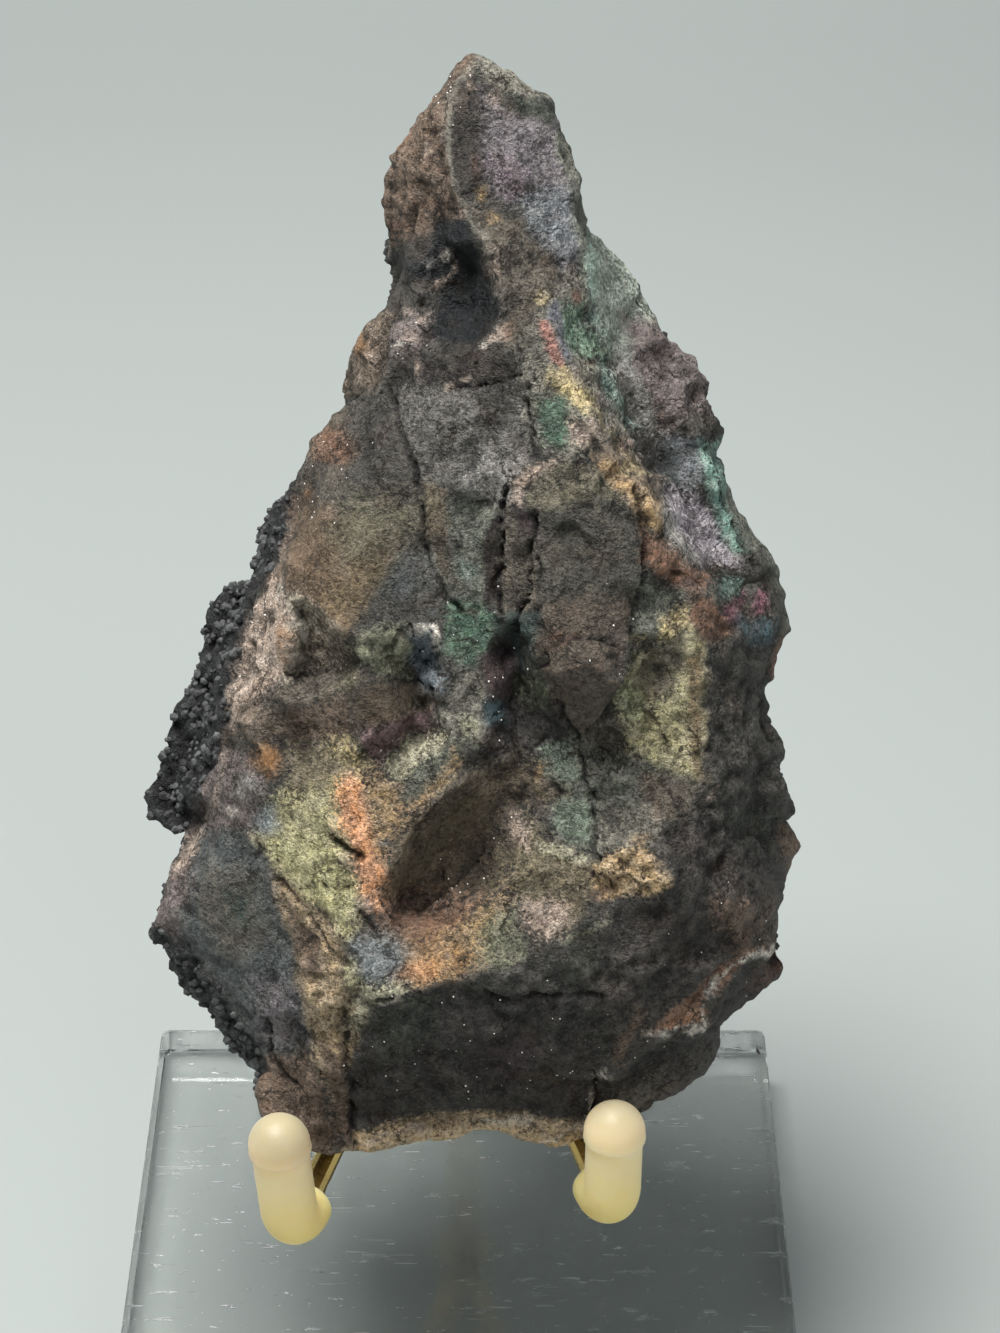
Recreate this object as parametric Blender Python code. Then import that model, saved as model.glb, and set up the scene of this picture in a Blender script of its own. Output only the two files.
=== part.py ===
"""A limonite specimen leaning on its display stand.

The stone is one solid: a broken, pear-shaped slab with a ridged and hollowed face and a lumpy black crust
on its back. It rests on two sleeved brass arms and leans on the capped post of a clear acrylic base.

World frame: +X to the right, +Y away from the viewer, +Z up, in metres. The origin is the centre of the
base's underside. The stone's face is laid out by sight lines: a point is given by the column and row where
the eye sees it and by its relief, which is how far it stands proud of the leaning plane of the face.
"""

import math

import bmesh
import bpy
import numpy as np
from mathutils import Matrix, Vector, noise
from mathutils.bvhtree import BVHTree
from mathutils.geometry import delaunay_2d_cdt

MM = 0.001

# Driving dimensions, in metres
BASE_WIDTH = 0.070
BASE_DEPTH = 0.070
BASE_THICKNESS = 0.008
BASE_BEVEL = 0.0008
POST_RADIUS = 0.0020
POST_Y = 0.0263
POST_TOP = 0.0719
POST_SOCKET_DEPTH = 0.005
POST_BEVEL = 0.0003
HUB_RADIUS = 0.0036
HUB_HALF_HEIGHT = 0.0030
HUB_HEIGHT = 0.0374
ROD_RADIUS = 0.00125
SLEEVE_RADIUS = 0.00272
SLEEVE_TIP_RADIUS = 0.00293
SLEEVE_TIP_LENGTH = 0.0007
SLEEVE_SEAM = 0.0003
SLEEVE_RUN = 0.0010
SLEEVE_END_ROUND = 0.0005
BEND_RADIUS = 0.0030
CAP_RADIUS = 0.0032
CAP_LENGTH = 0.009
GAP = 0.00036

# Where each prong turns up, and how far its rod rises, leans back and splays from there
PRONG_FOOT_HEIGHT = 0.0344
PRONG_LEFT = {"x": -0.0155, "y": -0.0234, "rise": 0.0108, "lean": 0.0006, "splay": -0.0008}
PRONG_RIGHT = {"x": 0.0150, "y": -0.0207, "rise": 0.0099, "lean": 0.0006, "splay": 0.0001}

# Mesh steps round and along the turned and bent parts
POST_SIDES = 20
ROD_SIDES = 12
SLEEVE_SIDES = 14
BEND_STEPS = 5
CAP_STEPS = 5

# The eye that the sight lines leave, and the picture that they cross: columns run right, rows run down
EYE = Vector((0.0043, -0.2283, 0.2435))
SIGHT_PITCH = math.radians(35.0)
SIGHT_FOCAL = 3022.0
SIGHT_COLUMN = 500.0
SIGHT_ROW = 666.5

# The leaning plane of the stone's face
FACE_LEAN = math.radians(27.0)
FACE_FOOT = Vector((0.0, -0.0180, 0.0381))
FACE_UP = Vector((0.0, math.sin(FACE_LEAN), math.cos(FACE_LEAN)))
FACE_OUT = Vector((0.0, -math.cos(FACE_LEAN), math.sin(FACE_LEAN)))

# The stone's mesh: point spacing on the face in columns, and on the back in metres
FACE_SPACING = 17.0
BACK_SPACING = 0.0023
WALL_RINGS = 4
BACK_RELIEF = -16.5
BACK_SWELL = 3.5
UNDERSIDE_REACH = 0.030
UNDERSIDE_LIFT = 0.0005
UNDERSIDE_DIP = 0.0031
LUMP_COUNT = 90
LUMP_SHARE = 0.42

# Rim of the face, clockwise from the apex: column, row, relief in millimetres
RIM_RIGHT_OF_PEAK = [
    (472, 57, 3.0), (497, 69, 2.5), (520, 81, 2.0), (546, 97, 1.5), (556, 112, 1.5), (562, 130, 2.0),
    (574, 150, 2.0), (575, 168, 2.0), (584, 188, 2.0), (585, 206, 1.0), (591, 223, -1.0),
]
RIM_RIGHT_SHOULDER = [
    (606, 244, -4.0), (626, 262, -5.0), (640, 290, -5.0), (658, 318, -5.0), (672, 338, -4.0),
    (690, 350, -4.0),
    (702, 364, -4.0), (709, 382, -4.0), (706, 398, -4.0), (718, 420, -4.0), (722, 438, -4.0),
    (731, 468, -4.0),
    (736, 492, -4.0), (750, 520, -4.5), (765, 544, -5.0), (776, 566, -5.0), (784, 592, -5.0),
    (790, 615, -5.0),
    (797, 630, -5.0), (789, 642, -4.0), (781, 656, -4.0), (776, 680, -3.0),
]
RIM_RIGHT_FLANK = [
    (769, 688, -3.0), (772, 702, -3.0), (770, 716, -3.0), (780, 738, -3.0), (784, 756, -3.0),
    (791, 780, -3.0),
    (796, 802, -3.0), (783, 820, -3.5), (790, 842, -4.0), (792, 862, -5.0), (789, 884, -5.0),
    (782, 905, -4.0),
    (781, 926, -4.0), (785, 950, -5.0), (785, 968, -5.0), (776, 984, -5.0), (762, 1002, -5.0),
    (744, 1016, -5.0),
    (724, 1026, -4.0), (722, 1048, -4.0), (718, 1066, -4.0), (704, 1073, -3.5), (690, 1086, -3.0),
    (668, 1100, -2.5), (648, 1114, -2.0), (625, 1126, -1.0),
]
RIM_FOOT = [
    (602, 1134, -0.5), (578, 1141, -0.5), (558, 1148, -1.0), (535, 1146, -1.0), (515, 1140, -1.0),
    (498, 1132, -1.0), (480, 1132, -1.0), (455, 1138, -1.0), (430, 1142, -0.5), (400, 1143, -0.5),
    (375, 1148, 0.0), (350, 1151, 0.0), (332, 1158, 0.5), (314, 1154, 1.0), (296, 1144, 1.0),
    (277, 1130, 0.5),
    (265, 1110, 0.0), (262, 1088, -1.0), (261, 1069, -2.5),
]
RIM_LEFT_EDGE = [
    (250, 1062, -4.0), (240, 1050, -5.0), (226, 1036, -5.0), (213, 1018, -6.0), (200, 1000, -6.0),
    (186, 985, -6.0), (176, 966, -6.0), (166, 945, -5.0), (152, 937, -5.0), (151, 926, -4.0),
    (158, 906, -4.0),
    (162, 882, -4.0), (170, 862, -5.0), (180, 842, -6.0), (187, 831, -8.0),
]
RIM_CRUST = [
    (168, 822, -10.0), (149, 812, -11.0), (150, 797, -11.0), (157, 780, -11.0), (165, 762, -11.0),
    (172, 746, -11.0), (171, 718, -11.0), (184, 702, -11.0), (194, 684, -11.0), (201, 664, -10.0),
    (204, 642, -10.0), (203, 626, -10.0), (214, 606, -10.0), (228, 592, -10.0), (240, 580, -9.0),
    (251, 576, -9.0), (252, 562, -9.0), (262, 553, -9.0), (263, 536, -9.0), (269, 516, -8.0),
    (278, 502, -8.0),
]
RIM_LEFT_OF_PEAK = [
    (290, 496, -6.0), (297, 484, -4.0), (305, 463, -2.0), (316, 438, -2.0), (330, 427, -2.0),
    (344, 412, -2.0),
    (352, 398, -2.0), (346, 380, -2.5), (345, 364, -3.0), (352, 344, -3.0), (365, 326, -2.0),
    (384, 310, -1.5),
    (395, 290, -1.0), (402, 268, -1.0), (396, 250, -2.0), (384, 240, -3.0), (382, 220, -3.0),
    (387, 198, -3.0),
    (389, 172, -3.0), (400, 150, -2.5), (416, 124, -1.0), (440, 90, 0.5), (455, 70, 2.0),
]
RIM = (
    RIM_RIGHT_OF_PEAK + RIM_RIGHT_SHOULDER + RIM_RIGHT_FLANK + RIM_FOOT
    + RIM_LEFT_EDGE + RIM_CRUST + RIM_LEFT_OF_PEAK
)

# Lines on the face that stay sharp in the mesh: column, row, relief in millimetres
CREASES = {
    "peak ridge": [
        (467, 76, 4.5), (452, 100, 5.5), (446, 130, 6.5), (449, 165, 7.5), (456, 195, 8.0), (470, 222, 8.5),
        (488, 246, 9.5), (500, 280, 10.0), (500, 310, 10.0),
    ],
    "peak chamfer": [
        (490, 74, 3.9), (520, 91, 4.2), (547, 112, 4.5), (558, 145, 5.0), (569, 190, 5.0), (576, 225, 4.8),
        (588, 262, 4.5), (600, 300, 4.2),
    ],
    "iridescent ridge": [
        (545, 300, 9.0), (552, 340, 9.8), (568, 385, 10.4), (592, 430, 10.8), (625, 468, 10.2),
        (655, 508, 9.2),
        (674, 548, 8.6), (700, 588, 8.0), (727, 618, 6.6), (752, 655, 3.5),
    ],
    "valley beside the ridge": [
        (612, 350, 2.6), (630, 400, 1.6), (660, 460, 1.0), (690, 520, 0.4), (715, 560, -0.2),
        (738, 600, -0.6),
    ],
    "outer flank crest": [
        (646, 330, -1.2), (676, 375, 0.6), (700, 440, 1.2), (722, 490, 0.2), (745, 540, -1.2),
        (768, 592, -2.4),
    ],
    "central rib": [(512, 345, 10.2), (524, 380, 10.4), (528, 425, 10.3)],
    "tongue edge": [
        (533, 478, 10.8), (560, 466, 11.4), (600, 478, 11.8), (630, 502, 11.2), (641, 560, 11.2),
        (634, 620, 11.4),
        (625, 676, 11.8), (612, 712, 10.8), (580, 738, 9.6), (557, 706, 10.9), (541, 662, 12.4),
        (538, 600, 11.8),
        (537, 540, 11.2),
    ],
    "tongue tip facet": [(554, 672, 14.2), (574, 668, 14.7), (596, 666, 14.6), (614, 682, 13.6)],
    "cavity wall": [(289, 562, 5.2), (291, 600, 5.6), (288, 640, 5.6), (284, 676, 5.2)],
    "dome's lower edge": [(300, 590, 6.2), (312, 604, 7.4), (332, 621, 8.2), (358, 640, 8.4)],
    "socket's rim": [
        (402, 632, 8.8), (414, 625, 9.4), (428, 626, 9.6), (439, 635, 9.5), (446, 652, 9.4),
        (446, 678, 9.0), (438, 702, 8.2),
    ],
    "channel's left edge": [(486, 645, 8.8), (489, 690, 8.9), (488, 735, 8.3)],
    "hollow's lower rim": [(495, 324, 9.8), (484, 338, 9.2), (466, 350, 8.9)],
    "gold chunk": [(604, 856, 10.4), (630, 848, 11.0), (656, 862, 11.2), (662, 876, 11.0)],
    "front edge above the crust": [
        (284, 520, -1.0), (268, 556, -1.4), (256, 598, -1.6), (243, 640, -1.6), (231, 680, -1.6),
        (219, 720, -1.6),
        (211, 760, -1.8), (204, 800, -2.2),
    ],
    "fold": [(240, 722, 3.6), (280, 706, 5.4), (320, 694, 6.6), (352, 678, 7.6)],
    "hollow's sharp rim": [
        (376, 902, 8.8), (388, 868, 9.4), (411, 832, 9.5), (440, 800, 9.3), (472, 778, 8.8),
        (508, 762, 7.8),
    ],
    "lower ridge": [
        (372, 1012, 8.6), (400, 998, 9.6), (440, 981, 10.3), (480, 972, 10.4), (520, 968, 10.4),
        (556, 954, 10.4),
        (584, 926, 10.4), (612, 906, 10.5), (640, 900, 10.5), (664, 882, 10.4), (700, 898, 9.2),
        (738, 914, 6.6),
    ],
    "foot facet's left edge": [(363, 1060, 4.8), (368, 1108, 1.6)],
    "broken ledge": [
        (770, 948, 1.0), (752, 960, 3.4), (730, 980, 4.6), (716, 992, 5.2), (707, 1012, 5.2),
        (680, 1025, 5.4),
        (655, 1036, 5.4), (626, 1050, 5.0), (607, 1078, 3.8),
    ],
    "under the ledge": [
        (770, 966, -3.2), (746, 988, -0.6), (724, 1010, 0.8), (692, 1038, 1.6), (654, 1052, 1.8),
        (628, 1076, 1.0),
    ],
    "lower left arris": [
        (172, 900, -1.8), (176, 930, -2.0), (196, 966, -1.6), (219, 1002, -1.6), (243, 1040, -1.8),
    ],
}

# Single heights between the creases, by the form that they belong to
MOUNDS_AND_HOLLOWS = {
    "peak's left flank": [
        (405, 185, 1.0), (420, 150, 2.6), (425, 215, 4.0), (402, 222, 0.6), (430, 118, 2.8),
    ],
    "peak's face": [
        (490, 120, 6.4), (520, 160, 6.8), (500, 200, 7.4), (530, 230, 7.0), (515, 270, 8.6),
        (555, 260, 6.4),
    ],
    "blue hollow": [
        (462, 282, 3.7), (472, 312, 3.9), (446, 305, 4.4), (442, 250, 5.2), (456, 334, 5.6),
    ],
    "beside the hollow": [
        (420, 262, 5.0), (415, 300, 5.6), (400, 320, 4.0), (420, 340, 6.6), (450, 360, 8.6),
    ],
    "left lobe": [
        (368, 348, 0.8), (385, 335, 2.6), (370, 375, 1.6), (392, 368, 4.4), (378, 402, 3.6),
        (362, 420, 2.8),
    ],
    "central field": [
        (440, 400, 9.0), (480, 400, 9.6), (430, 440, 9.0), (470, 450, 9.8), (500, 440, 10.0),
        (450, 490, 9.4),
    ],
    "ridge's near side": [
        (535, 350, 10.0), (545, 400, 10.4), (560, 430, 10.8), (580, 300, 6.6), (590, 340, 6.4),
        (605, 390, 6.2),
    ],
    "ridge's far side": [(622, 440, 6.0), (650, 480, 5.2), (680, 535, 4.6), (705, 570, 3.6)],
    "right shoulder": [
        (612, 272, -2.4), (625, 310, -1.0), (690, 400, 0.6), (700, 375, -1.2), (715, 520, -0.2),
        (755, 575, -2.6),
    ],
    "dome": [
        (330, 452, 2.4), (322, 485, 4.4), (352, 478, 6.8), (384, 462, 8.0), (412, 490, 8.8),
        (398, 530, 9.2),
        (360, 540, 9.0), (322, 530, 6.8), (304, 540, 4.8), (332, 585, 8.4), (376, 604, 8.6),
        (412, 570, 8.8),
    ],
    "dark cavity": [(301, 640, 0.9), (316, 660, 1.9), (300, 674, 2.2), (336, 660, 3.8), (301, 616, 2.2)],
    "white band": [(272, 600, 2.8), (262, 650, 2.6), (255, 690, 2.8), (240, 700, 2.0), (276, 560, 2.6)],
    "below the fold": [
        (240, 750, 2.2), (230, 790, 1.4), (264, 756, 5.8), (292, 752, 4.2), (330, 730, 6.2),
        (312, 768, 5.4),
        (215, 840, -0.6),
    ],
    "eye socket": [
        (426, 648, 4.0), (430, 672, 3.9), (404, 662, 5.4), (382, 652, 6.8), (424, 692, 5.2),
        (400, 694, 7.0), (372, 704, 8.4), (392, 718, 8.6),
    ],
    "purple hollow": [(404, 742, 5.4), (390, 752, 6.0), (424, 722, 5.6)],
    "green field": [(462, 604, 9.2), (458, 640, 8.8), (470, 690, 8.6), (480, 720, 8.4), (445, 745, 8.8)],
    "dark channel": [(502, 652, 5.0), (507, 700, 4.4), (512, 740, 4.8), (528, 765, 6.0), (524, 660, 6.2)],
    "column": [(512, 500, 10.2), (509, 560, 10.2), (510, 620, 9.6), (486, 540, 9.0), (480, 590, 9.2)],
    "tongue": [(588, 520, 12.4), (590, 580, 13.0), (586, 630, 13.8), (588, 700, 13.0)],
    "around the tongue": [
        (652, 600, 8.8), (648, 660, 8.4), (634, 704, 8.2), (608, 738, 7.6), (580, 758, 7.2),
        (550, 732, 7.2),
        (531, 690, 7.4), (660, 540, 9.0), (524, 560, 9.2), (524, 610, 8.8),
    ],
    "olive facet": [
        (690, 640, 9.0), (716, 660, 8.0), (680, 700, 9.2), (712, 720, 8.4), (700, 780, 8.8),
        (650, 740, 8.6),
    ],
    "right flank": [
        (742, 710, 5.0), (752, 760, 4.6), (772, 800, 2.0), (730, 800, 7.0), (700, 835, 9.0),
        (744, 860, 5.0),
        (770, 880, 0.8), (690, 868, 9.6), (664, 800, 9.2),
    ],
    "lower field": [
        (560, 800, 8.2), (590, 832, 8.4), (548, 862, 9.4), (586, 880, 9.6), (520, 920, 9.9),
        (560, 900, 9.8),
    ],
    "long hollow": [
        (518, 792, 5.6), (492, 828, 4.6), (458, 868, 4.0), (430, 888, 4.4), (404, 904, 5.4),
        (430, 836, 6.8),
        (462, 806, 6.8), (408, 876, 6.6),
    ],
    "hollow's soft rim": [
        (540, 800, 8.2), (530, 846, 9.0), (508, 884, 9.2), (476, 914, 9.2), (436, 930, 8.8),
        (400, 928, 8.2),
    ],
    "orange rib": [
        (358, 760, 8.0), (362, 800, 9.2), (366, 850, 9.6), (360, 905, 9.4), (384, 950, 9.6),
        (420, 960, 9.6),
    ],
    "lower left field": [
        (330, 785, 7.8), (296, 805, 6.6), (256, 822, 4.0), (290, 850, 6.8), (322, 885, 8.0),
        (345, 935, 8.8),
        (304, 935, 6.4), (276, 880, 5.2), (250, 850, 3.6),
    ],
    "lower left facet": [
        (215, 872, 1.6), (205, 915, 0.6), (240, 950, 2.2), (252, 1000, 1.6), (268, 1040, 0.6),
        (272, 975, 4.4),
    ],
    "ribs at the foot": [
        (292, 960, 5.8), (300, 1015, 5.2), (310, 1065, 4.0), (318, 1110, 2.0), (346, 1000, 7.8),
        (348, 1060, 5.0),
        (334, 1040, 4.2), (280, 1090, 1.4),
    ],
    "foot facets": [
        (400, 1060, 6.0), (395, 1115, 1.4), (460, 1040, 7.4), (455, 1110, 1.0), (520, 1030, 7.8),
        (530, 1105, 1.2),
        (590, 985, 8.6), (580, 1060, 5.2), (575, 1112, 1.0), (650, 960, 8.8), (700, 945, 7.6),
    ],
    "lower layer": [(700, 1050, -1.4), (664, 1078, -0.8), (630, 1104, 0.0), (752, 1000, -3.4)],
    "crust": [
        (280, 508, -8.0), (266, 545, -8.2), (246, 600, -8.8), (226, 640, -9.4), (214, 690, -9.8),
        (196, 730, -10.2),
        (188, 770, -10.4), (180, 806, -10.2), (198, 812, -8.0), (172, 790, -10.8), (222, 620, -9.4),
    ],
    "pitted strip": [(186, 962, -5.6), (208, 1000, -5.4), (232, 1036, -4.8)],
}

COLOURS = {
    "limonite": ((0.075, 0.066, 0.058), 0.85, 0.0),
    "acrylic": ((0.80, 0.84, 0.84), 0.05, 0.0),
    "brass": ((0.62, 0.44, 0.14), 0.25, 1.0),
    "silicone": ((0.86, 0.74, 0.42), 0.45, 0.0),
}


def clear_scene():
    for obj in list(bpy.data.objects):
        bpy.data.objects.remove(obj, do_unlink=True)


def make_material(name):
    colour, roughness, metallic = COLOURS[name]
    material = bpy.data.materials.new(name)
    material.use_nodes = True
    shader = material.node_tree.nodes["Principled BSDF"]
    shader.inputs["Base Color"].default_value = (*colour, 1.0)
    shader.inputs["Roughness"].default_value = roughness
    shader.inputs["Metallic"].default_value = metallic
    return material


def add_object(name, mesh, material, place=(0.0, 0.0, 0.0)):
    obj = bpy.data.objects.new(name, mesh)
    bpy.context.scene.collection.objects.link(obj)
    obj.location = place
    if material:
        mesh.materials.append(material)
    return obj


def mesh_from(name, points, faces, smooth=False):
    mesh = bpy.data.meshes.new(name)
    mesh.from_pydata([tuple(p) for p in points], [], faces)
    if smooth:
        mesh.shade_smooth()
        mesh.set_sharp_from_angle(angle=math.radians(40))
    mesh.update()
    return mesh


def sight_point(column, row, relief_mm):
    """The point on a sight line that stands relief_mm proud of the face's plane."""
    forward = Vector((0.0, math.cos(SIGHT_PITCH), -math.sin(SIGHT_PITCH)))
    down = Vector((0.0, -math.sin(SIGHT_PITCH), -math.cos(SIGHT_PITCH)))
    line = forward + down * ((row - SIGHT_ROW) / SIGHT_FOCAL)
    line.x += (column - SIGHT_COLUMN) / SIGHT_FOCAL
    reach = (FACE_FOOT + FACE_OUT * (relief_mm * MM) - EYE).dot(FACE_OUT) / line.dot(FACE_OUT)
    return EYE + line * reach


def split_long_steps(points, longest, closed):
    """The points of a line, with even steps put in where two are further apart than longest."""
    out = []
    count = len(points) if closed else len(points) - 1
    for i in range(count):
        a, b = np.array(points[i], float), np.array(points[(i + 1) % len(points)], float)
        steps = max(1, math.ceil(np.linalg.norm((b - a)[:2]) / longest))
        out += [tuple(a + (b - a) * k / steps) for k in range(steps)]
    if not closed:
        out.append(tuple(float(c) for c in points[-1]))
    return out


def relief_tree(rim):
    """The face's heights as a net of triangles over columns and rows, to be probed by relief_at."""
    heights = [tuple(p) for p in rim]
    for line in CREASES.values():
        heights += split_long_steps(line, 2.0 * FACE_SPACING, closed=False)
    for points in MOUNDS_AND_HOLLOWS.values():
        heights += points
    flat = [Vector(p[:2]) for p in heights]
    hull = delaunay_2d_cdt(flat, [], [], 0, 0.01)
    places = [Vector((v.x, v.y, heights[source[0]][2])) for v, source in zip(hull[0], hull[3])]
    return BVHTree.FromPolygons(places, hull[2])


def relief_at(tree, column, row):
    hit = tree.ray_cast(Vector((column, row, 100.0)), Vector((0.0, 0.0, -1.0)))[0]
    if hit is None:
        hit = tree.find_nearest(Vector((column, row, 0.0)))[0]
    return hit.z


def roughen(place, amount_mm, size_mm):
    """Broken-rock roughness in millimetres at a point given in metres."""
    return amount_mm * noise.fractal(place / (size_mm * MM), 0.9, 2.1, 4)


def hex_grid(low, high, spacing):
    """Points of an even triangular grid over a rectangle, each nudged a little so that no rows show."""
    rng = np.random.default_rng(11)
    points = []
    row_step = spacing * math.sqrt(3) / 2
    for j in range(int((high[1] - low[1]) / row_step) + 1):
        for i in range(int((high[0] - low[0]) / spacing) + 1):
            nudge = rng.uniform(-0.16, 0.16, 2) * spacing
            points.append((
                low[0] + (i + 0.5 * (j % 2)) * spacing + nudge[0],
                low[1] + j * row_step + nudge[1],
            ))
    return points


def inside(points, outline):
    """Which of the points lie inside a closed outline."""
    points, outline = np.array(points), np.array(outline)
    x, y = points[:, 0], points[:, 1]
    odd = np.zeros(len(points), bool)
    for a, b in zip(outline, np.roll(outline, -1, axis=0)):
        crosses = (a[1] > y) != (b[1] > y)
        with np.errstate(divide="ignore", invalid="ignore"):
            at = a[0] + (y - a[1]) * (b[0] - a[0]) / (b[1] - a[1])
        odd ^= crosses & (x < at)
    return odd


def far_from(points, kept, distance):
    """Which of the points are at least distance from every kept point."""
    points, kept = np.array(points), np.array(kept)
    return np.array([np.hypot(*(kept - p).T).min() >= distance for p in points])


def fill_outline(outline, lines, spacing):
    """Fills a closed outline with triangles that keep the lines as edges. Returns its points and faces.

    The outline's own points come first, in their order.
    """
    fixed = [tuple(p) for p in outline]
    edges = []
    for line in lines:
        start = len(fixed)
        fixed += [tuple(p) for p in line]
        edges += [(start + k, start + k + 1) for k in range(len(line) - 1)]
    low, high = np.min(outline, axis=0), np.max(outline, axis=0)
    filler = np.array(hex_grid(low, high, spacing))
    filler = filler[inside(filler, outline)]
    filler = filler[far_from(filler, fixed, 0.62 * spacing)]
    count = len(outline)
    scale = 1.0 / spacing
    flat = [Vector((p[0] * scale, p[1] * scale)) for p in fixed + [tuple(p) for p in filler]]
    made = delaunay_2d_cdt(flat, edges, [list(range(count))], 1, 1e-5)
    order = {}
    for index, source in enumerate(made[3]):
        for s in source:
            if s < count:
                order[s] = index
    rank = [order[s] for s in range(count)]
    rest = [i for i in range(len(made[0])) if i not in set(rank)]
    renumber = {old: new for new, old in enumerate(rank + rest)}
    points = [(made[0][i].x * spacing, made[0][i].y * spacing) for i in rank + rest]
    return points, [[renumber[i] for i in face] for face in made[2]]


def face_sheet(rim):
    """The stone's face: its points, rim first, and its triangles."""
    tree = relief_tree(rim)
    outline = [p[:2] for p in rim]
    lines = []
    for line in CREASES.values():
        lines.append([p[:2] for p in split_long_steps(line, FACE_SPACING, closed=False)])
    flat, faces = fill_outline(outline, lines, FACE_SPACING)
    points = []
    for k, (column, row) in enumerate(flat):
        relief = rim[k][2] if k < len(rim) else relief_at(tree, column, row)
        place = sight_point(column, row, relief)
        if k >= len(rim):
            crusty = 1.0 if relief < -6.5 else 0.0
            relief += roughen(place, 0.30 + 0.55 * crusty, 5.0 - 2.2 * crusty)
            place = sight_point(column, row, relief)
        points.append(place)
    return points, faces


def to_face(place):
    """A world point as metres across, up and out of the face's plane."""
    offset = place - FACE_FOOT
    return Vector((offset.x, offset.dot(FACE_UP), offset.dot(FACE_OUT)))


def from_face(across, up, out):
    return FACE_FOOT + Vector((across, 0.0, 0.0)) + FACE_UP * up + FACE_OUT * out


def smoothed_loop(points, reach):
    """A closed loop of points, each replaced by the mean of its neighbours within reach."""
    count = len(points)
    out = []
    for i in range(count):
        near = [points[(i + k) % count] for k in range(-reach, reach + 1)]
        out.append(sum(near, Vector()) / len(near))
    return out


def back_rim(rim_points):
    """The back's edge: the rim smoothed, carried back through the stone's thickness and drawn in."""
    flat = smoothed_loop([to_face(p) for p in rim_points], 3)
    centre = Vector((0.0, 0.040, 0.0))
    points = []
    for p in flat:
        height = p.y / 0.100
        depth = (BACK_RELIEF + 5.5 * max(0.0, height - 0.45)) * MM
        drawn = 0.92 + 0.05 * noise.noise(Vector((p.x * 90, p.y * 90, 3.0)))
        across = centre.x + (p.x - centre.x) * drawn
        up = centre.y + (p.y - centre.y) * drawn
        if p.y < UNDERSIDE_REACH:
            level = (p.z - depth) * math.tan(FACE_LEAN)
            up = max(up, p.y + level * (1.0 - p.y / UNDERSIDE_REACH) + UNDERSIDE_LIFT)
        points.append(from_face(across, up, depth))
    return points


def wall_rings(front, back):
    """Rings of points between the face's rim and the back's rim, broken by roughness."""
    rings = []
    for k in range(1, WALL_RINGS):
        share = k / WALL_RINGS
        ring = []
        for a, b in zip(front, back):
            place = a.lerp(b, share)
            flat = to_face(place)
            inward = flat - Vector((0.0, 0.045, flat.z))
            dent = (roughen(place, 1.3, 6.5) - 0.9) * MM
            bulge = 0.0009 * math.sin(math.pi * share)
            push = inward.normalized() * (dent + bulge)
            dip = UNDERSIDE_DIP * math.sin(math.pi * share) * max(0.0, 1.0 - flat.y / UNDERSIDE_REACH)
            ring.append(place + Vector((push.x, 0.0, -dip)) + FACE_UP * push.y)
        rings.append(ring)
    return rings


def crust_lumps(outline):
    """Centres and radii of the round lumps that cover the back, in metres on the face's plane."""
    rng = np.random.default_rng(5)
    low, high = np.min(outline, axis=0), np.max(outline, axis=0)
    lumps = []
    while len(lumps) < LUMP_COUNT:
        centre = rng.uniform(low, high)
        radius = rng.uniform(0.0035, 0.0075)
        if all(np.hypot(*(centre - c)) > 0.62 * (radius + r) for c, r in lumps):
            lumps.append((centre, radius))
    return lumps


def back_sheet(rim_points):
    """The stone's crusted back: its points, rim first, and its triangles, facing away."""
    flat = [to_face(p) for p in rim_points]
    outline = [(p.x, p.y) for p in flat]
    edge = np.array(outline)
    lumps = crust_lumps(outline)
    plan, faces = fill_outline(outline, [], BACK_SPACING)
    points = list(rim_points)
    depths = np.array([p.z for p in flat])
    for across, up in plan[len(outline):]:
        away = np.hypot(*(edge - (across, up)).T)
        weights = 1.0 / (away ** 3 + 1e-9)
        depth = float((weights * depths).sum() / weights.sum())
        reach = min(1.0, float(away.min()) / 0.014)
        swell = BACK_SWELL * MM * math.sin(reach * math.pi / 2)
        heights = [radius ** 2 - (across - c[0]) ** 2 - (up - c[1]) ** 2 for c, radius in lumps]
        lump = LUMP_SHARE * math.sqrt(max(0.0, *heights)) * min(1.0, reach * 2.0)
        place = from_face(across, up, depth - swell - lump)
        points.append(place - FACE_OUT * (roughen(place, 0.25, 4.0) * MM))
    return points, [face[::-1] for face in faces]


def build_stone():
    """The stone as one closed solid: face, broken wall and crusted back."""
    rim = split_long_steps(RIM, 1.25 * FACE_SPACING, closed=True)
    face_points, face_faces = face_sheet(rim)
    count = len(rim)
    front = face_points[:count]
    back = back_rim(front)
    rings = wall_rings(front, back)
    back_points, back_faces = back_sheet(back)

    points = list(face_points)
    ring_starts = [0]
    for ring in rings:
        ring_starts.append(len(points))
        points += ring
    back_start = len(points)
    ring_starts.append(back_start)
    points += back_points
    faces = [list(f) for f in face_faces]
    for a, b in zip(ring_starts, ring_starts[1:]):
        for k in range(count):
            after = (k + 1) % count
            faces += [[a + k, b + after, b + k], [a + k, a + after, b + after]]
    faces += [[back_start + i for i in face] for face in back_faces]

    mesh = mesh_from("limonite", [p - FACE_FOOT for p in points], faces)
    shape = bmesh.new()
    shape.from_mesh(mesh)
    bmesh.ops.recalc_face_normals(shape, faces=shape.faces)
    shape.to_mesh(mesh)
    shape.free()
    mesh.shade_smooth()
    mesh.set_sharp_from_angle(angle=math.radians(38))
    return add_object("limonite", mesh, make_material("limonite"), FACE_FOOT)


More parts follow.
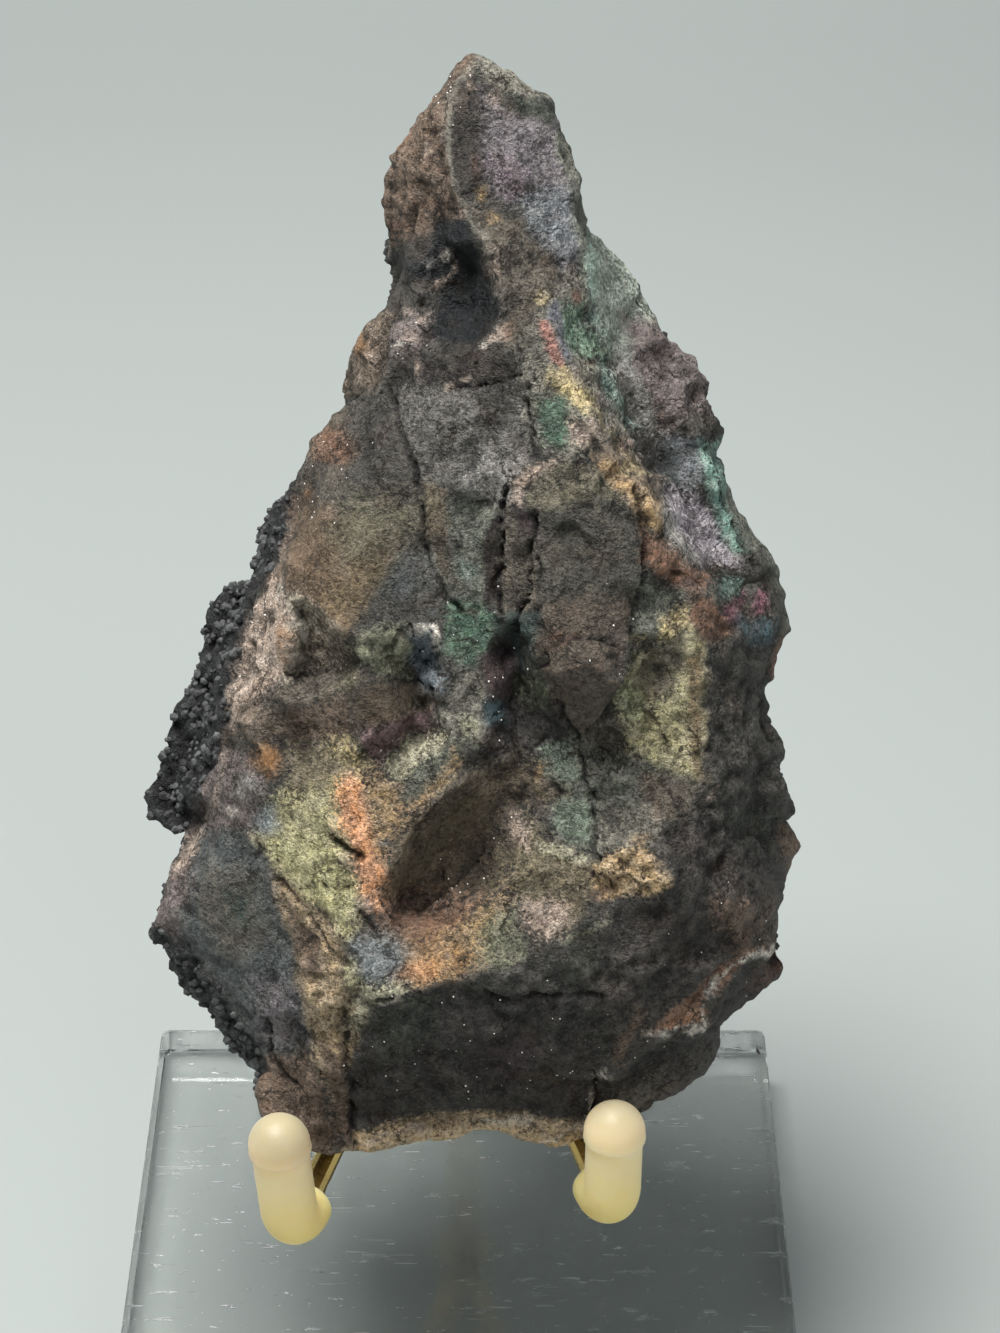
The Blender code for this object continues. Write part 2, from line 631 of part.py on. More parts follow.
def frame_along(path):
    """A pair of directions across the path at each point, turned as little as possible along it."""
    path = [Vector(p) for p in path]
    side = None
    frames = []
    for i, p in enumerate(path):
        ahead = path[min(i + 1, len(path) - 1)] - path[max(i - 1, 0)]
        ahead.normalize()
        if side is None:
            side = ahead.orthogonal().normalized()
        side = (side - ahead * side.dot(ahead)).normalized()
        frames.append((p, side, ahead.cross(side)))
    return frames


def ring_points(frame, radius, sides):
    centre, a, b = frame
    turns = [2 * math.pi * k / sides for k in range(sides)]
    return [centre + (a * math.cos(t) + b * math.sin(t)) * radius for t in turns]


def skin_rings(rings, start_cap, end_cap):
    """Joins rings of equal count into a closed surface, each end closed by a point."""
    sides = len(rings[0])
    points = [p for ring in rings for p in ring]
    faces = []
    for r in range(len(rings) - 1):
        for k in range(sides):
            after = (k + 1) % sides
            faces.append([r * sides + k, r * sides + after, (r + 1) * sides + after, (r + 1) * sides + k])
    first, last = len(points), len(points) + 1
    points += [start_cap, end_cap]
    top = (len(rings) - 1) * sides
    for k in range(sides):
        after = (k + 1) % sides
        faces.append([first, after, k])
        faces.append([last, top + k, top + after])
    return points, faces


def closed_mesh(name, points, faces):
    mesh = mesh_from(name, points, faces)
    shape = bmesh.new()
    shape.from_mesh(mesh)
    bmesh.ops.recalc_face_normals(shape, faces=shape.faces)
    shape.to_mesh(mesh)
    shape.free()
    mesh.shade_smooth()
    mesh.set_sharp_from_angle(angle=math.radians(40))
    return mesh


def arm_path(prong):
    """Centre line of one arm: out from the hub, round the bend and up the prong."""
    root = Vector((prong["x"], prong["y"], PRONG_FOOT_HEIGHT))
    hub = Vector((0.0, POST_Y, HUB_HEIGHT))
    along = (root - hub).normalized()
    tip = root + Vector((prong["splay"], prong["lean"], prong["rise"]))
    rise = (tip - root).normalized()
    angle = along.angle(rise)
    inward = (rise - along * rise.dot(along)).normalized()
    start = root - along * (BEND_RADIUS * math.tan(angle / 2))
    centre = start + inward * BEND_RADIUS
    axis = along.cross(rise)
    bend = []
    for k in range(BEND_STEPS + 1):
        turn = Matrix.Rotation(angle * k / BEND_STEPS, 3, axis)
        bend.append(centre - turn @ (inward * BEND_RADIUS))
    return hub, along, bend, rise, tip


def build_arm(name, prong):
    hub, along, bend, rise, tip = arm_path(prong)
    path = [hub + along * (HUB_RADIUS * 0.45), *bend, tip]
    frames = frame_along(path)
    rings = [ring_points(f, ROD_RADIUS, ROD_SIDES) for f in frames]
    points, faces = skin_rings(rings, path[0], path[-1])
    return add_object(name, closed_mesh(name, points, faces), None)


def join_solids(target, others):
    """Unites the others with the target by exact Booleans, and removes them."""
    for other in others:
        modifier = target.modifiers.new("join", "BOOLEAN")
        modifier.operation = "UNION"
        modifier.object = other
        bpy.context.view_layer.update()
        graph = bpy.context.evaluated_depsgraph_get()
        mesh = bpy.data.meshes.new_from_object(target.evaluated_get(graph))
        target.modifiers.clear()
        target.data = mesh
        bpy.data.objects.remove(other, do_unlink=True)


def turned_mesh(name, profile, sides):
    """A solid turned about +Z from (radius, height) pairs that start and end on the axis."""
    rings = []
    for radius, height in profile[1:-1]:
        level = (Vector((0, 0, height)), Vector((1, 0, 0)), Vector((0, 1, 0)))
        rings.append(ring_points(level, radius, sides))
    start, end = Vector((0, 0, profile[0][1])), Vector((0, 0, profile[-1][1]))
    points, faces = skin_rings(rings, start, end)
    return closed_mesh(name, points, faces)


def build_brass_frame():
    """Post, hub and two arms, brazed into one piece. The post's foot stands in the base's socket."""
    foot = BASE_THICKNESS - POST_SOCKET_DEPTH + GAP
    low, high = HUB_HEIGHT - HUB_HALF_HEIGHT, HUB_HEIGHT + HUB_HALF_HEIGHT
    profile = [
        (0, foot), (POST_RADIUS - POST_BEVEL, foot), (POST_RADIUS, foot + POST_BEVEL),
        (POST_RADIUS, low), (HUB_RADIUS - POST_BEVEL, low), (HUB_RADIUS, low + POST_BEVEL),
        (HUB_RADIUS, high - POST_BEVEL), (HUB_RADIUS - POST_BEVEL, high), (POST_RADIUS, high),
        (POST_RADIUS, POST_TOP - POST_BEVEL), (POST_RADIUS - POST_BEVEL, POST_TOP), (0, POST_TOP),
    ]
    frame = add_object("brass_frame", turned_mesh("brass_frame", profile, POST_SIDES), None)
    frame.data.transform(Matrix.Translation((0.0, POST_Y, 0.0)))
    arms = [build_arm("arm_left", PRONG_LEFT), build_arm("arm_right", PRONG_RIGHT)]
    join_solids(frame, arms)
    frame.data.materials.clear()
    frame.data.materials.append(make_material("brass"))
    frame.data.shade_smooth()
    frame.data.set_sharp_from_angle(angle=math.radians(40))
    return frame


def dome_rings(frame, direction, radius, sides, steps):
    """Rings that round off a tube's end, from the tube's full radius towards its pole."""
    centre, a, b = frame
    rings = []
    for k in range(1, steps):
        angle = math.pi / 2 * k / steps
        raised = centre + direction * (radius * math.sin(angle))
        rings.append(ring_points((raised, a, b), radius * math.cos(angle), sides))
    return rings


def build_sleeve(name, prong, material):
    """A silicone sleeve over the prong and its bend: open on the arm, closed by a dome over the tip."""
    hub, along, bend, rise, tip = arm_path(prong)
    stations = [(bend[0] - along * SLEEVE_RUN, SLEEVE_RADIUS - SLEEVE_END_ROUND)]
    stations += [(bend[0] - along * (SLEEVE_RUN - SLEEVE_END_ROUND), SLEEVE_RADIUS)]
    stations += [(p, SLEEVE_RADIUS) for p in bend]
    stations += [(tip - rise * (SLEEVE_TIP_LENGTH + SLEEVE_SEAM), SLEEVE_RADIUS)]
    stations += [(tip - rise * SLEEVE_TIP_LENGTH, SLEEVE_TIP_RADIUS), (tip, SLEEVE_TIP_RADIUS)]
    frames = frame_along([p for p, radius in stations])
    bore = ROD_RADIUS + GAP
    outer = [ring_points(f, radius, SLEEVE_SIDES) for f, (p, radius) in zip(frames, stations)]
    outer += dome_rings(frames[-1], rise, SLEEVE_TIP_RADIUS, SLEEVE_SIDES, 4)
    inner = [ring_points(f, bore, SLEEVE_SIDES) for f in [frames[0], *frames[2:-3]]]
    centre, a, b = frames[-1]
    inner.append(ring_points((tip + rise * GAP, a, b), bore, SLEEVE_SIDES))
    pole, bottom = tip + rise * SLEEVE_TIP_RADIUS, tip + rise * (1.5 * GAP)
    points, faces = skin_rings(outer[::-1] + inner, pole, bottom)
    return add_object(name, closed_mesh(name, points, faces), material)


def build_post_cap(material):
    """A silicone cap over the post's top, where the stone's back leans."""
    bore = POST_RADIUS + GAP
    mouth = POST_TOP - CAP_LENGTH
    profile = [(0, POST_TOP + GAP), (bore, POST_TOP + GAP), (bore, mouth), (CAP_RADIUS, mouth)]
    for k in range(CAP_STEPS):
        angle = math.pi / 2 * k / CAP_STEPS
        profile.append((CAP_RADIUS * math.cos(angle), POST_TOP + CAP_RADIUS * math.sin(angle)))
    profile.append((0, POST_TOP + CAP_RADIUS))
    mesh = turned_mesh("post_cap", profile, POST_SIDES)
    return add_object("post_cap", mesh, material, (0.0, POST_Y, 0.0))


def build_base():
    """The clear slab, with a blind socket for the post."""
    shape = bmesh.new()
    bmesh.ops.create_cube(shape, size=1.0)
    bmesh.ops.scale(shape, vec=(BASE_WIDTH, BASE_DEPTH, BASE_THICKNESS), verts=shape.verts)
    bmesh.ops.translate(shape, vec=(0.0, 0.0, BASE_THICKNESS / 2), verts=shape.verts)
    mesh = bpy.data.meshes.new("acrylic_base")
    shape.to_mesh(mesh)
    shape.free()
    base = add_object("acrylic_base", mesh, make_material("acrylic"))
    bevel = base.modifiers.new("polished edges", "BEVEL")
    bevel.width = BASE_BEVEL
    bevel.segments = 2
    bevel.limit_method = "ANGLE"
    bore = POST_RADIUS + GAP
    profile = [(0, -POST_SOCKET_DEPTH), (bore, -POST_SOCKET_DEPTH), (bore, POST_RADIUS), (0, POST_RADIUS)]
    socket = turned_mesh("socket_cutter", profile, POST_SIDES)
    cutter = add_object("socket_cutter", socket, None, (0.0, POST_Y, BASE_THICKNESS))
    cutter.hide_render = True
    cutter.display_type = "WIRE"
    cut = base.modifiers.new("post socket", "BOOLEAN")
    cut.operation = "DIFFERENCE"
    cut.object = cutter
    return base


def main():
    clear_scene()
    silicone = make_material("silicone")
    build_base()
    build_brass_frame()
    build_sleeve("sleeve_left", PRONG_LEFT, silicone)
    build_sleeve("sleeve_right", PRONG_RIGHT, silicone)
    build_post_cap(silicone)
    build_stone()


main()
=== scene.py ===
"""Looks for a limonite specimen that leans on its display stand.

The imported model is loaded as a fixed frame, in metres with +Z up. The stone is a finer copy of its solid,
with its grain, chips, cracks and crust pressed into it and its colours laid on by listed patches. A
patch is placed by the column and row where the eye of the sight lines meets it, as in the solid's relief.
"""

import math

import bmesh
import bpy
import numpy as np
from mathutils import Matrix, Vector, noise


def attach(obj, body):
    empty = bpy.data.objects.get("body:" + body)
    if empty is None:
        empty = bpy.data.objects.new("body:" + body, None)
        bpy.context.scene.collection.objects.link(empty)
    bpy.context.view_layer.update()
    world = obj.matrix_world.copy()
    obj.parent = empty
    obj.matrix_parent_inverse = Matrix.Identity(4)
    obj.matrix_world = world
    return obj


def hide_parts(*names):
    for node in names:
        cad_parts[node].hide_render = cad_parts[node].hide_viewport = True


bl_info = {
    "name": "Limonite specimen",
    "version": (1, 0, 0),
    "blender": (4, 5, 0),
    "location": "3D View > Sidebar > Specimen",
    "description": "Dresses a limonite specimen and its display stand",
    "category": "Object",
}

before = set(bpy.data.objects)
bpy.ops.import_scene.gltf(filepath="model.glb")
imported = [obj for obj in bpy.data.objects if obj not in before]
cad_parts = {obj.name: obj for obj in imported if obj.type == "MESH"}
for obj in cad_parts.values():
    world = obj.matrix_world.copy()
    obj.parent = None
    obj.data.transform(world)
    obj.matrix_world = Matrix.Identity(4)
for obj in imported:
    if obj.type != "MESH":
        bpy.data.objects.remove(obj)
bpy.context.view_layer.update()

MM = 0.001

# The eye that the sight lines leave, and the picture that they cross, as in the solid's own source
EYE = Vector((0.0043, -0.2283, 0.2435))
SIGHT_PITCH = math.radians(35.0)
SIGHT_FOCAL = 3022.0
SIGHT_COLUMN = 500.0
SIGHT_ROW = 666.5
PICTURE_ROWS = 1333.0

# The leaning plane of the stone's face
FACE_LEAN = math.radians(27.0)
FACE_FOOT = Vector((0.0, -0.0180, 0.0381))
FACE_OUT = Vector((0.0, -math.cos(FACE_LEAN), math.sin(FACE_LEAN)))

# The floor: its front edge, where it starts to rise behind the stand, the bend's radius and steps, the
# wall's top, half its width, and how far it lies below the base
FLOOR_FRONT = -1.2
FLOOR_BEND = 0.30
SWEEP_RADIUS = 0.25
FLOOR_STEPS = 12
WALL_TOP = 1.4
FLOOR_SIDE = 1.6
FLOOR_GAP = 0.0001

# What both lights look at, their places, sizes and colours, and the light from all around
LIGHT_TARGET = (0.0, 0.0, 0.07)
KEY_LIGHT = ((-0.12, 0.02, 0.62), 0.26, (1.0, 0.99, 0.97))
FILL_LIGHT = ((0.35, -0.60, 0.50), 0.5, (0.96, 0.98, 1.0))
SKY_COLOUR = (0.92, 0.97, 1.0, 1.0)
SKY_STRENGTH = 0.27

# Heights between which a sleeve's colour turns to the painted shade of its rounded tip, which darkens the top
# where the overhead light falls
CROWN_SHADE_HEIGHTS = (0.0435, 0.0476)

# Heights above which the painted shade ends and the colour is the sleeve's own again, for the post's cap
CROWN_SHADE_END = (0.060, 0.052)

# Linear colour of a sleeve's rounded tip: painted shade, darker than the silicone, where the overhead light
# falls
CROWN_SHADE_COLOUR = (0.41, 0.36, 0.24)

# Centre lines of the sleeved prongs and the capped post, as in the solid's own source
POST_Y = 0.0263
POST_TOP = 0.0719
HUB_HEIGHT = 0.0374
PRONG_FOOT_HEIGHT = 0.0344
BEND_RADIUS = 0.0030
SLEEVE_RUN = 0.0010
MOUTH_ROUNDING = 0.0009
MOUTH_STEPS = 5
BEND_STEPS = 24
DOME_STEPS = 12
TUBE_SIDES = 40
PRONGS = {
    "sleeve_left": {"x": -0.0155, "y": -0.0234, "rise": 0.0108, "lean": 0.0006, "splay": -0.0008},
    "sleeve_right": {"x": 0.0150, "y": -0.0207, "rise": 0.0099, "lean": 0.0006, "splay": 0.0001},
}

# Share of the quarter turn at which a dome's line ends, just short of a point
DOME_END = 0.985

# Heights between which a sleeve turns from its pale upper part to its deeper yellow foot, a painted glow of
# the brass showing through
BRASS_GLOW_HEIGHTS = (PRONG_FOOT_HEIGHT + 0.011, PRONG_FOOT_HEIGHT - 0.001)

# Scratches on the base: turn in radians, scale along them, and the noise value from which they show; then
# their scale across
SCRATCH_LANES = ((0.35, 90.0, 0.69), (1.35, 70.0, 0.71), (2.5, 100.0, 0.71), (0.02, 120.0, 0.70))
SCRATCH_SCALE = 2600.0

# Colours of the stone as they look in plain light, red, green and blue from 0 to 255; cavity, socket, lilac
# and flank green are made lighter as painted light, against the shade of deep hollows and of the flank turned
# away from the key light
SHADES = {
    "amber": (122, 86, 48), "beige": (116, 106, 82), "blue black": (27, 31, 34),
    "blue grey": (122, 126, 130), "bright green": (118, 150, 124), "cavity": (186, 172, 150),
    "charcoal": (70, 66, 62), "chunk": (190, 160, 116), "cream": (172, 168, 138), "crease": (44, 38, 34),
    "crust": (36, 36, 38), "crust tip highlight": (66, 70, 70), "dark green": (60, 64, 56), "dark grey": (68, 66, 61),
    "dark olive": (88, 78, 58), "deep teal": (48, 64, 60), "dome brown": (101, 83, 64),
    "earth": (92, 85, 74), "field": (172, 164, 122), "flank brown": (106, 88, 73),
    "flank green": (140, 151, 138), "flesh": (168, 148, 132), "glow": (164, 126, 80), "gold": (160, 132, 92),
    "green": (84, 113, 92), "grey": (100, 98, 93), "grey green": (104, 107, 95),
    "hollow brown": (106, 93, 74), "ledge": (138, 102, 76), "ledge brown": (122, 92, 72),
    "lilac": (196, 186, 194), "lime": (168, 162, 114), "lobe brown": (105, 92, 78), "magenta": (112, 70, 82),
    "maroon": (64, 52, 53), "moss": (92, 98, 74), "ochre": (126, 108, 78), "olive": (104, 99, 80),
    "orange": (230, 160, 106), "pale blue": (128, 135, 136), "pale green": (120, 134, 116),
    "pale grey": (142, 140, 134), "pale lime": (178, 180, 138), "periwinkle": (96, 100, 112),
    "pink grey": (110, 99, 96), "plum": (106, 82, 82), "red brown": (98, 68, 54), "rib": (182, 157, 120),
    "rim grey": (118, 115, 103), "rose": (158, 106, 94), "rust": (118, 86, 66), "sage": (126, 127, 102),
    "slate": (80, 85, 84), "socket": (110, 122, 130), "soot": (60, 57, 54), "strip grey": (57, 53, 49),
    "teal": (66, 89, 94), "tip brown": (84, 75, 66), "tongue": (72, 70, 61), "tongue brown": (85, 75, 64),
    "turquoise": (120, 153, 141), "umber": (64, 55, 42), "violet": (124, 111, 120),
    "violet grey": (114, 108, 111), "white": (202, 194, 182), "yellow": (176, 158, 110),
}

# Fields of colour: shade, softness of the edge in columns, and the corners' columns and rows
FIELDS = {
    "peak": [
        ("flank brown", 4, (472, 50), (455, 66), (435, 92), (415, 118), (395, 145), (383, 175), (375, 210),
         (380, 245), (398, 254), (420, 246), (434, 226), (462, 218), (466, 205), (456, 190), (446, 160),
         (444, 130), (450, 105), (462, 82), (474, 66)),
        ("earth", 6, (466, 206), (485, 205), (510, 215), (530, 230), (548, 250), (560, 275), (575, 285),
         (570, 300), (545, 310), (545, 330), (520, 350), (505, 345), (503, 310), (497, 285), (484, 250),
         (474, 225)),
        ("strip grey", 5, (474, 72), (456, 90), (446, 115), (442, 140), (446, 165), (458, 190), (470, 205),
         (482, 185), (488, 150), (486, 115), (480, 85)),
        ("violet grey", 8, (482, 88), (500, 92), (520, 108), (545, 120), (558, 135), (570, 165), (575, 195),
         (560, 200), (540, 195), (515, 200), (495, 190), (484, 160), (484, 120)),
        ("violet", 8, (490, 160), (510, 158), (525, 170), (525, 185), (510, 195), (495, 190)),
        ("dark green", 5, (500, 92), (520, 92), (540, 98), (556, 112), (550, 128), (530, 120), (508, 108)),
        ("rim grey", 2, (474, 52), (500, 66), (530, 80), (548, 92), (556, 106), (540, 99), (518, 91),
         (500, 86), (482, 72)),
        ("blue grey", 8, (520, 200), (545, 190), (570, 190), (580, 220), (586, 260), (580, 280), (560, 260),
         (545, 245), (532, 228)),
        ("grey green", 4, (562, 125), (580, 165), (590, 195), (592, 225), (600, 290), (592, 300), (584, 260),
         (572, 215), (563, 175), (556, 140)),
    ],
    "blue hollow and left lobe": [
        ("strip grey", 7, (400, 248), (432, 228), (430, 262), (405, 290), (400, 320), (425, 345), (440, 372),
         (400, 388), (382, 350), (384, 310), (395, 285)),
        ("dark grey", 8, (425, 330), (480, 345), (478, 375), (440, 385), (420, 365)),
        ("blue black", 2, (432, 222), (468, 218), (474, 240), (480, 258), (496, 288), (498, 312), (488, 330),
         (474, 345), (440, 345), (430, 325), (436, 300), (448, 290), (430, 285), (412, 275), (405, 268),
         (425, 258), (432, 245)),
        ("lobe brown", 4, (390, 312), (365, 320), (346, 345), (340, 372), (348, 402), (372, 398), (388, 370),
         (395, 335)),
        ("pink grey", 8, (400, 320), (425, 310), (430, 340), (425, 380), (405, 385), (392, 360)),
    ],
    "middle": [
        ("strip grey", 8, (430, 350), (515, 345), (530, 370), (525, 395), (440, 395), (385, 385),
         (395, 370)),
        ("grey", 8, (385, 388), (445, 390), (528, 392), (532, 430), (528, 470), (510, 495), (470, 500),
         (430, 490), (408, 450), (390, 415)),
        ("pale grey", 12, (470, 470), (500, 455), (522, 460), (515, 490), (495, 500), (478, 495)),
        ("dark grey", 6, (480, 395), (510, 390), (518, 410), (500, 425), (480, 420)),
        ("grey green", 6, (445, 500), (490, 505), (490, 560), (485, 605), (462, 610), (446, 595),
         (432, 560)),
        ("hollow brown", 5, (420, 485), (445, 490), (448, 520), (450, 560), (455, 590), (440, 570),
         (426, 535)),
        ("crease", 3, (488, 520), (500, 512), (500, 560), (496, 605), (484, 610), (482, 560)),
        ("earth", 5, (502, 500), (530, 520), (534, 560), (535, 615), (505, 615), (500, 560)),
    ],
    "shoulder and dome": [
        ("dark grey", 8, (395, 388), (345, 398), (345, 430), (350, 460), (340, 480), (330, 500), (345, 520),
         (400, 500), (422, 490), (405, 450), (392, 415)),
        ("earth", 6, (345, 408), (312, 432), (300, 465), (290, 490), (310, 500), (340, 490), (352, 460),
         (348, 430)),
        ("rust", 5, (322, 428), (345, 434), (350, 455), (338, 465), (320, 460)),
        ("dome brown", 8, (296, 500), (330, 505), (360, 520), (395, 525), (415, 540), (400, 555), (385, 570),
         (370, 600), (340, 640), (325, 620), (300, 600), (284, 595), (284, 570), (290, 530)),
        ("ochre", 18, (360, 565), (400, 548), (400, 565), (370, 595), (340, 615), (330, 600)),
        ("olive", 18, (350, 500), (420, 500), (425, 535), (400, 548), (345, 560), (335, 530)),
        ("slate", 20, (398, 565), (430, 555), (440, 590), (430, 615), (395, 615), (385, 590)),
        ("dark grey", 8, (375, 595), (440, 600), (440, 625), (395, 625), (365, 625)),
        # The cavity's pale shade is painted light that lifts the shade in the deep cavity
        ("cavity", 8, (285, 598), (305, 605), (330, 625), (345, 650), (340, 665), (310, 672), (285, 680),
         (283, 650)),
        ("rim grey", 8, (286, 605), (300, 615), (300, 660), (286, 670)),
    ],
    "white band and fold": [
        ("flank brown", 4, (298, 492), (300, 505), (288, 540), (282, 575), (266, 600), (258, 580),
         (268, 545), (282, 505)),
        ("flesh", 4, (282, 575), (284, 600), (288, 640), (283, 672), (262, 700), (235, 712), (222, 705),
         (232, 670), (245, 640), (255, 610), (268, 588)),
        ("lobe brown", 5, (222, 705), (262, 702), (300, 712), (290, 735), (250, 740), (225, 735), (212, 765),
         (204, 745)),
        ("earth", 6, (265, 700), (290, 685), (330, 672), (350, 660), (375, 672), (350, 690), (310, 700),
         (280, 712)),
        ("olive", 6, (335, 670), (355, 655), (362, 680), (340, 695)),
        ("flank brown", 8, (290, 712), (350, 695), (350, 735), (300, 745), (285, 730)),
        ("dark grey", 6, (282, 745), (312, 745), (300, 785), (262, 800), (275, 775)),
    ],
    "eye socket": [
        # The sage and socket shades here are painted light: lighter than the stone's own colours, to lift the
        # shade in the deep socket
        ("sage", 6, (385, 625), (408, 628), (405, 660), (410, 680), (380, 675), (355, 650), (365, 635)),
        ("socket", 6, (408, 632), (430, 630), (440, 645), (442, 670), (438, 690), (424, 690), (416, 672),
         (406, 655)),
        ("umber", 6, (350, 690), (385, 680), (430, 690), (438, 700), (420, 715), (380, 730), (350, 725)),
        ("plum", 5, (360, 730), (390, 725), (430, 705), (440, 712), (420, 735), (395, 755), (385, 770),
         (368, 755)),
    ],
    "green field and dark channel": [
        ("green", 5, (445, 602), (478, 606), (500, 625), (500, 640), (480, 655), (465, 668), (450, 650),
         (445, 625)),
        ("rim grey", 4, (452, 668), (478, 668), (484, 700), (484, 738), (470, 742), (440, 735), (432, 715),
         (448, 700)),
        ("maroon", 4, (478, 655), (500, 645), (520, 650), (520, 690), (500, 700), (484, 690)),
        ("soot", 5, (484, 700), (520, 690), (535, 720), (530, 770), (500, 775), (480, 760), (486, 730)),
        ("teal", 5, (485, 703), (500, 703), (502, 722), (486, 724)),
        ("deep teal", 3, (510, 616), (536, 616), (538, 660), (525, 672), (515, 650)),
        ("moss", 5, (520, 676), (545, 670), (552, 690), (545, 715), (530, 705), (522, 690)),
    ],
    "rainbow ridge": [
        ("rim grey", 8, (520, 350), (545, 300), (580, 270), (596, 300), (600, 360), (625, 410), (640, 470),
         (600, 460), (560, 455), (530, 440), (522, 400)),
        ("bright green", 9, (562, 312), (585, 305), (598, 330), (600, 365), (580, 352), (563, 350)),
        ("turquoise", 4, (600, 360), (615, 375), (628, 400), (640, 430), (628, 425), (612, 400), (602, 380)),
        ("periwinkle", 4, (549, 300), (558, 304), (562, 330), (568, 355), (572, 372), (564, 366), (556, 340),
         (550, 320)),
        ("rose", 2, (541, 322), (550, 322), (556, 345), (563, 368), (556, 368), (549, 352), (545, 338)),
        ("yellow", 5, (548, 368), (562, 370), (580, 385), (594, 400), (590, 412), (572, 404), (556, 392),
         (546, 382)),
        ("green", 6, (542, 395), (565, 398), (572, 420), (565, 445), (545, 440), (538, 415)),
        ("flesh", 4, (572, 420), (595, 418), (600, 435), (588, 448), (574, 440)),
        ("lobe brown", 6, (600, 440), (622, 440), (645, 480), (660, 515), (655, 535), (640, 520), (618, 480),
         (600, 460)),
        ("gold", 5, (596, 455), (620, 465), (640, 490), (662, 520), (655, 528), (632, 505), (610, 480)),
        ("olive", 8, (560, 468), (600, 470), (622, 500), (600, 500), (560, 505)),
    ],
    "tongue": [
        ("olive", 8, (530, 480), (560, 466), (600, 475), (600, 500), (560, 512), (530, 510)),
        ("tongue", 6, (545, 510), (600, 495), (628, 515), (640, 560), (636, 620), (600, 640), (540, 640),
         (536, 580), (540, 530)),
        ("tongue brown", 6, (540, 600), (600, 595), (635, 600), (632, 640), (540, 645)),
        ("flesh", 3, (513, 500), (516, 480), (530, 468), (556, 460), (552, 468), (532, 478), (524, 494),
         (522, 505)),
        ("maroon", 6, (517, 508), (538, 510), (538, 538), (522, 538)),
        ("tongue brown", 3, (538, 645), (560, 640), (600, 640), (622, 650), (622, 682), (610, 670),
         (590, 662), (565, 668), (548, 680), (538, 668)),
        ("tip brown", 2, (550, 680), (572, 669), (600, 668), (617, 688), (612, 702), (600, 720), (584, 738),
         (572, 740), (558, 715), (549, 695)),
        ("soot", 4, (545, 700), (556, 712), (568, 738), (552, 742), (540, 725)),
        ("earth", 6, (590, 735), (612, 712), (625, 740), (650, 770), (620, 780), (585, 780), (578, 760)),
    ],
    "right of the tongue": [
        ("rust", 6, (642, 530), (665, 545), (700, 575), (702, 592), (680, 592), (655, 575), (640, 560)),
        ("grey green", 6, (640, 575), (680, 592), (672, 610), (650, 640), (632, 650), (636, 610)),
        ("field", 6, (640, 650), (690, 625), (712, 645), (712, 700), (706, 760), (700, 785), (660, 775),
         (625, 740), (625, 690)),
        ("olive", 8, (644, 645), (680, 630), (690, 660), (668, 700), (645, 690)),
        ("yellow", 4, (660, 620), (676, 606), (690, 604), (684, 622), (668, 634), (655, 636)),
        ("rust", 5, (690, 600), (716, 604), (738, 625), (720, 645), (700, 640), (690, 622)),
        ("pale lime", 3, (624, 690), (634, 684), (644, 692), (646, 712), (632, 720), (624, 712)),
        ("ochre", 5, (684, 660), (704, 648), (706, 700), (702, 760), (706, 784), (692, 782), (690, 740),
         (692, 700)),
    ],
    "upper right flank": [
        ("grey green", 4, (592, 222), (610, 240), (634, 262), (652, 295), (668, 330), (640, 335), (615, 315),
         (600, 300)),
        # Flank green is painted light: lighter than the stone's own colour, for the flank turned away from
        # the key light
        ("flank green", 3, (590, 222), (609, 237), (633, 264), (653, 298), (660, 318), (643, 325),
         (636, 358), (643, 405), (626, 399), (609, 365), (599, 332), (594, 291), (589, 251)),
        ("pale grey", 6, (622, 345), (645, 380), (665, 440), (640, 430), (620, 400), (608, 372)),
        ("pink grey", 6, (620, 310), (662, 328), (696, 350), (712, 370), (712, 405), (690, 415), (665, 440),
         (650, 400), (635, 360)),
        ("maroon", 7, (647, 338), (664, 342), (666, 360), (652, 362)),
        ("blue grey", 6, (665, 440), (704, 440), (705, 470), (690, 490), (665, 475)),
        ("slate", 7, (660, 450), (680, 460), (680, 490), (662, 492)),
        # Lilac here is painted light: lighter than the stone's own colour, for the flank turned away from the
        # key light
        ("lilac", 6, (664, 490), (690, 495), (715, 530), (745, 560), (745, 575), (720, 565), (695, 560),
         (672, 535)),
        ("pale grey", 4, (660, 500), (672, 520), (690, 545), (705, 560), (690, 560), (668, 540), (658, 515)),
        ("turquoise", 4, (700, 440), (724, 440), (730, 470), (734, 500), (742, 530), (748, 552), (735, 556),
         (718, 530), (706, 500), (698, 470)),
        ("grey green", 4, (735, 490), (770, 540), (790, 590), (802, 630), (785, 640), (770, 600), (750, 560),
         (738, 530), (728, 500)),
        ("dark grey", 8, (735, 560), (765, 560), (780, 600), (785, 630), (760, 650), (740, 640), (735, 600)),
        ("magenta", 4, (722, 595), (740, 600), (745, 620), (730, 618)),
        ("teal", 5, (740, 612), (768, 622), (770, 645), (752, 642), (742, 630)),
        ("turquoise", 3, (720, 578), (732, 582), (732, 598), (720, 594)),
        ("rust", 3, (783, 638), (795, 645), (782, 672), (772, 692), (770, 665)),
    ],
    "dark right side": [
        ("dark grey", 8, (712, 645), (760, 650), (772, 690), (790, 740), (802, 800), (770, 830), (720, 800),
         (706, 770), (712, 720)),
        ("charcoal", 8, (690, 800), (770, 830), (796, 850), (794, 905), (760, 910), (700, 900), (665, 880),
         (655, 840)),
        ("dark green", 10, (720, 800), (775, 815), (770, 850), (735, 840)),
        ("flank brown", 4, (778, 825), (794, 830), (798, 862), (788, 880), (779, 850)),
    ],
    "lower middle": [
        ("grey green", 8, (580, 745), (640, 760), (700, 785), (680, 800), (640, 820), (600, 860), (560, 850),
         (550, 810), (560, 780)),
        ("pale green", 6, (540, 745), (572, 742), (578, 780), (560, 785), (540, 775)),
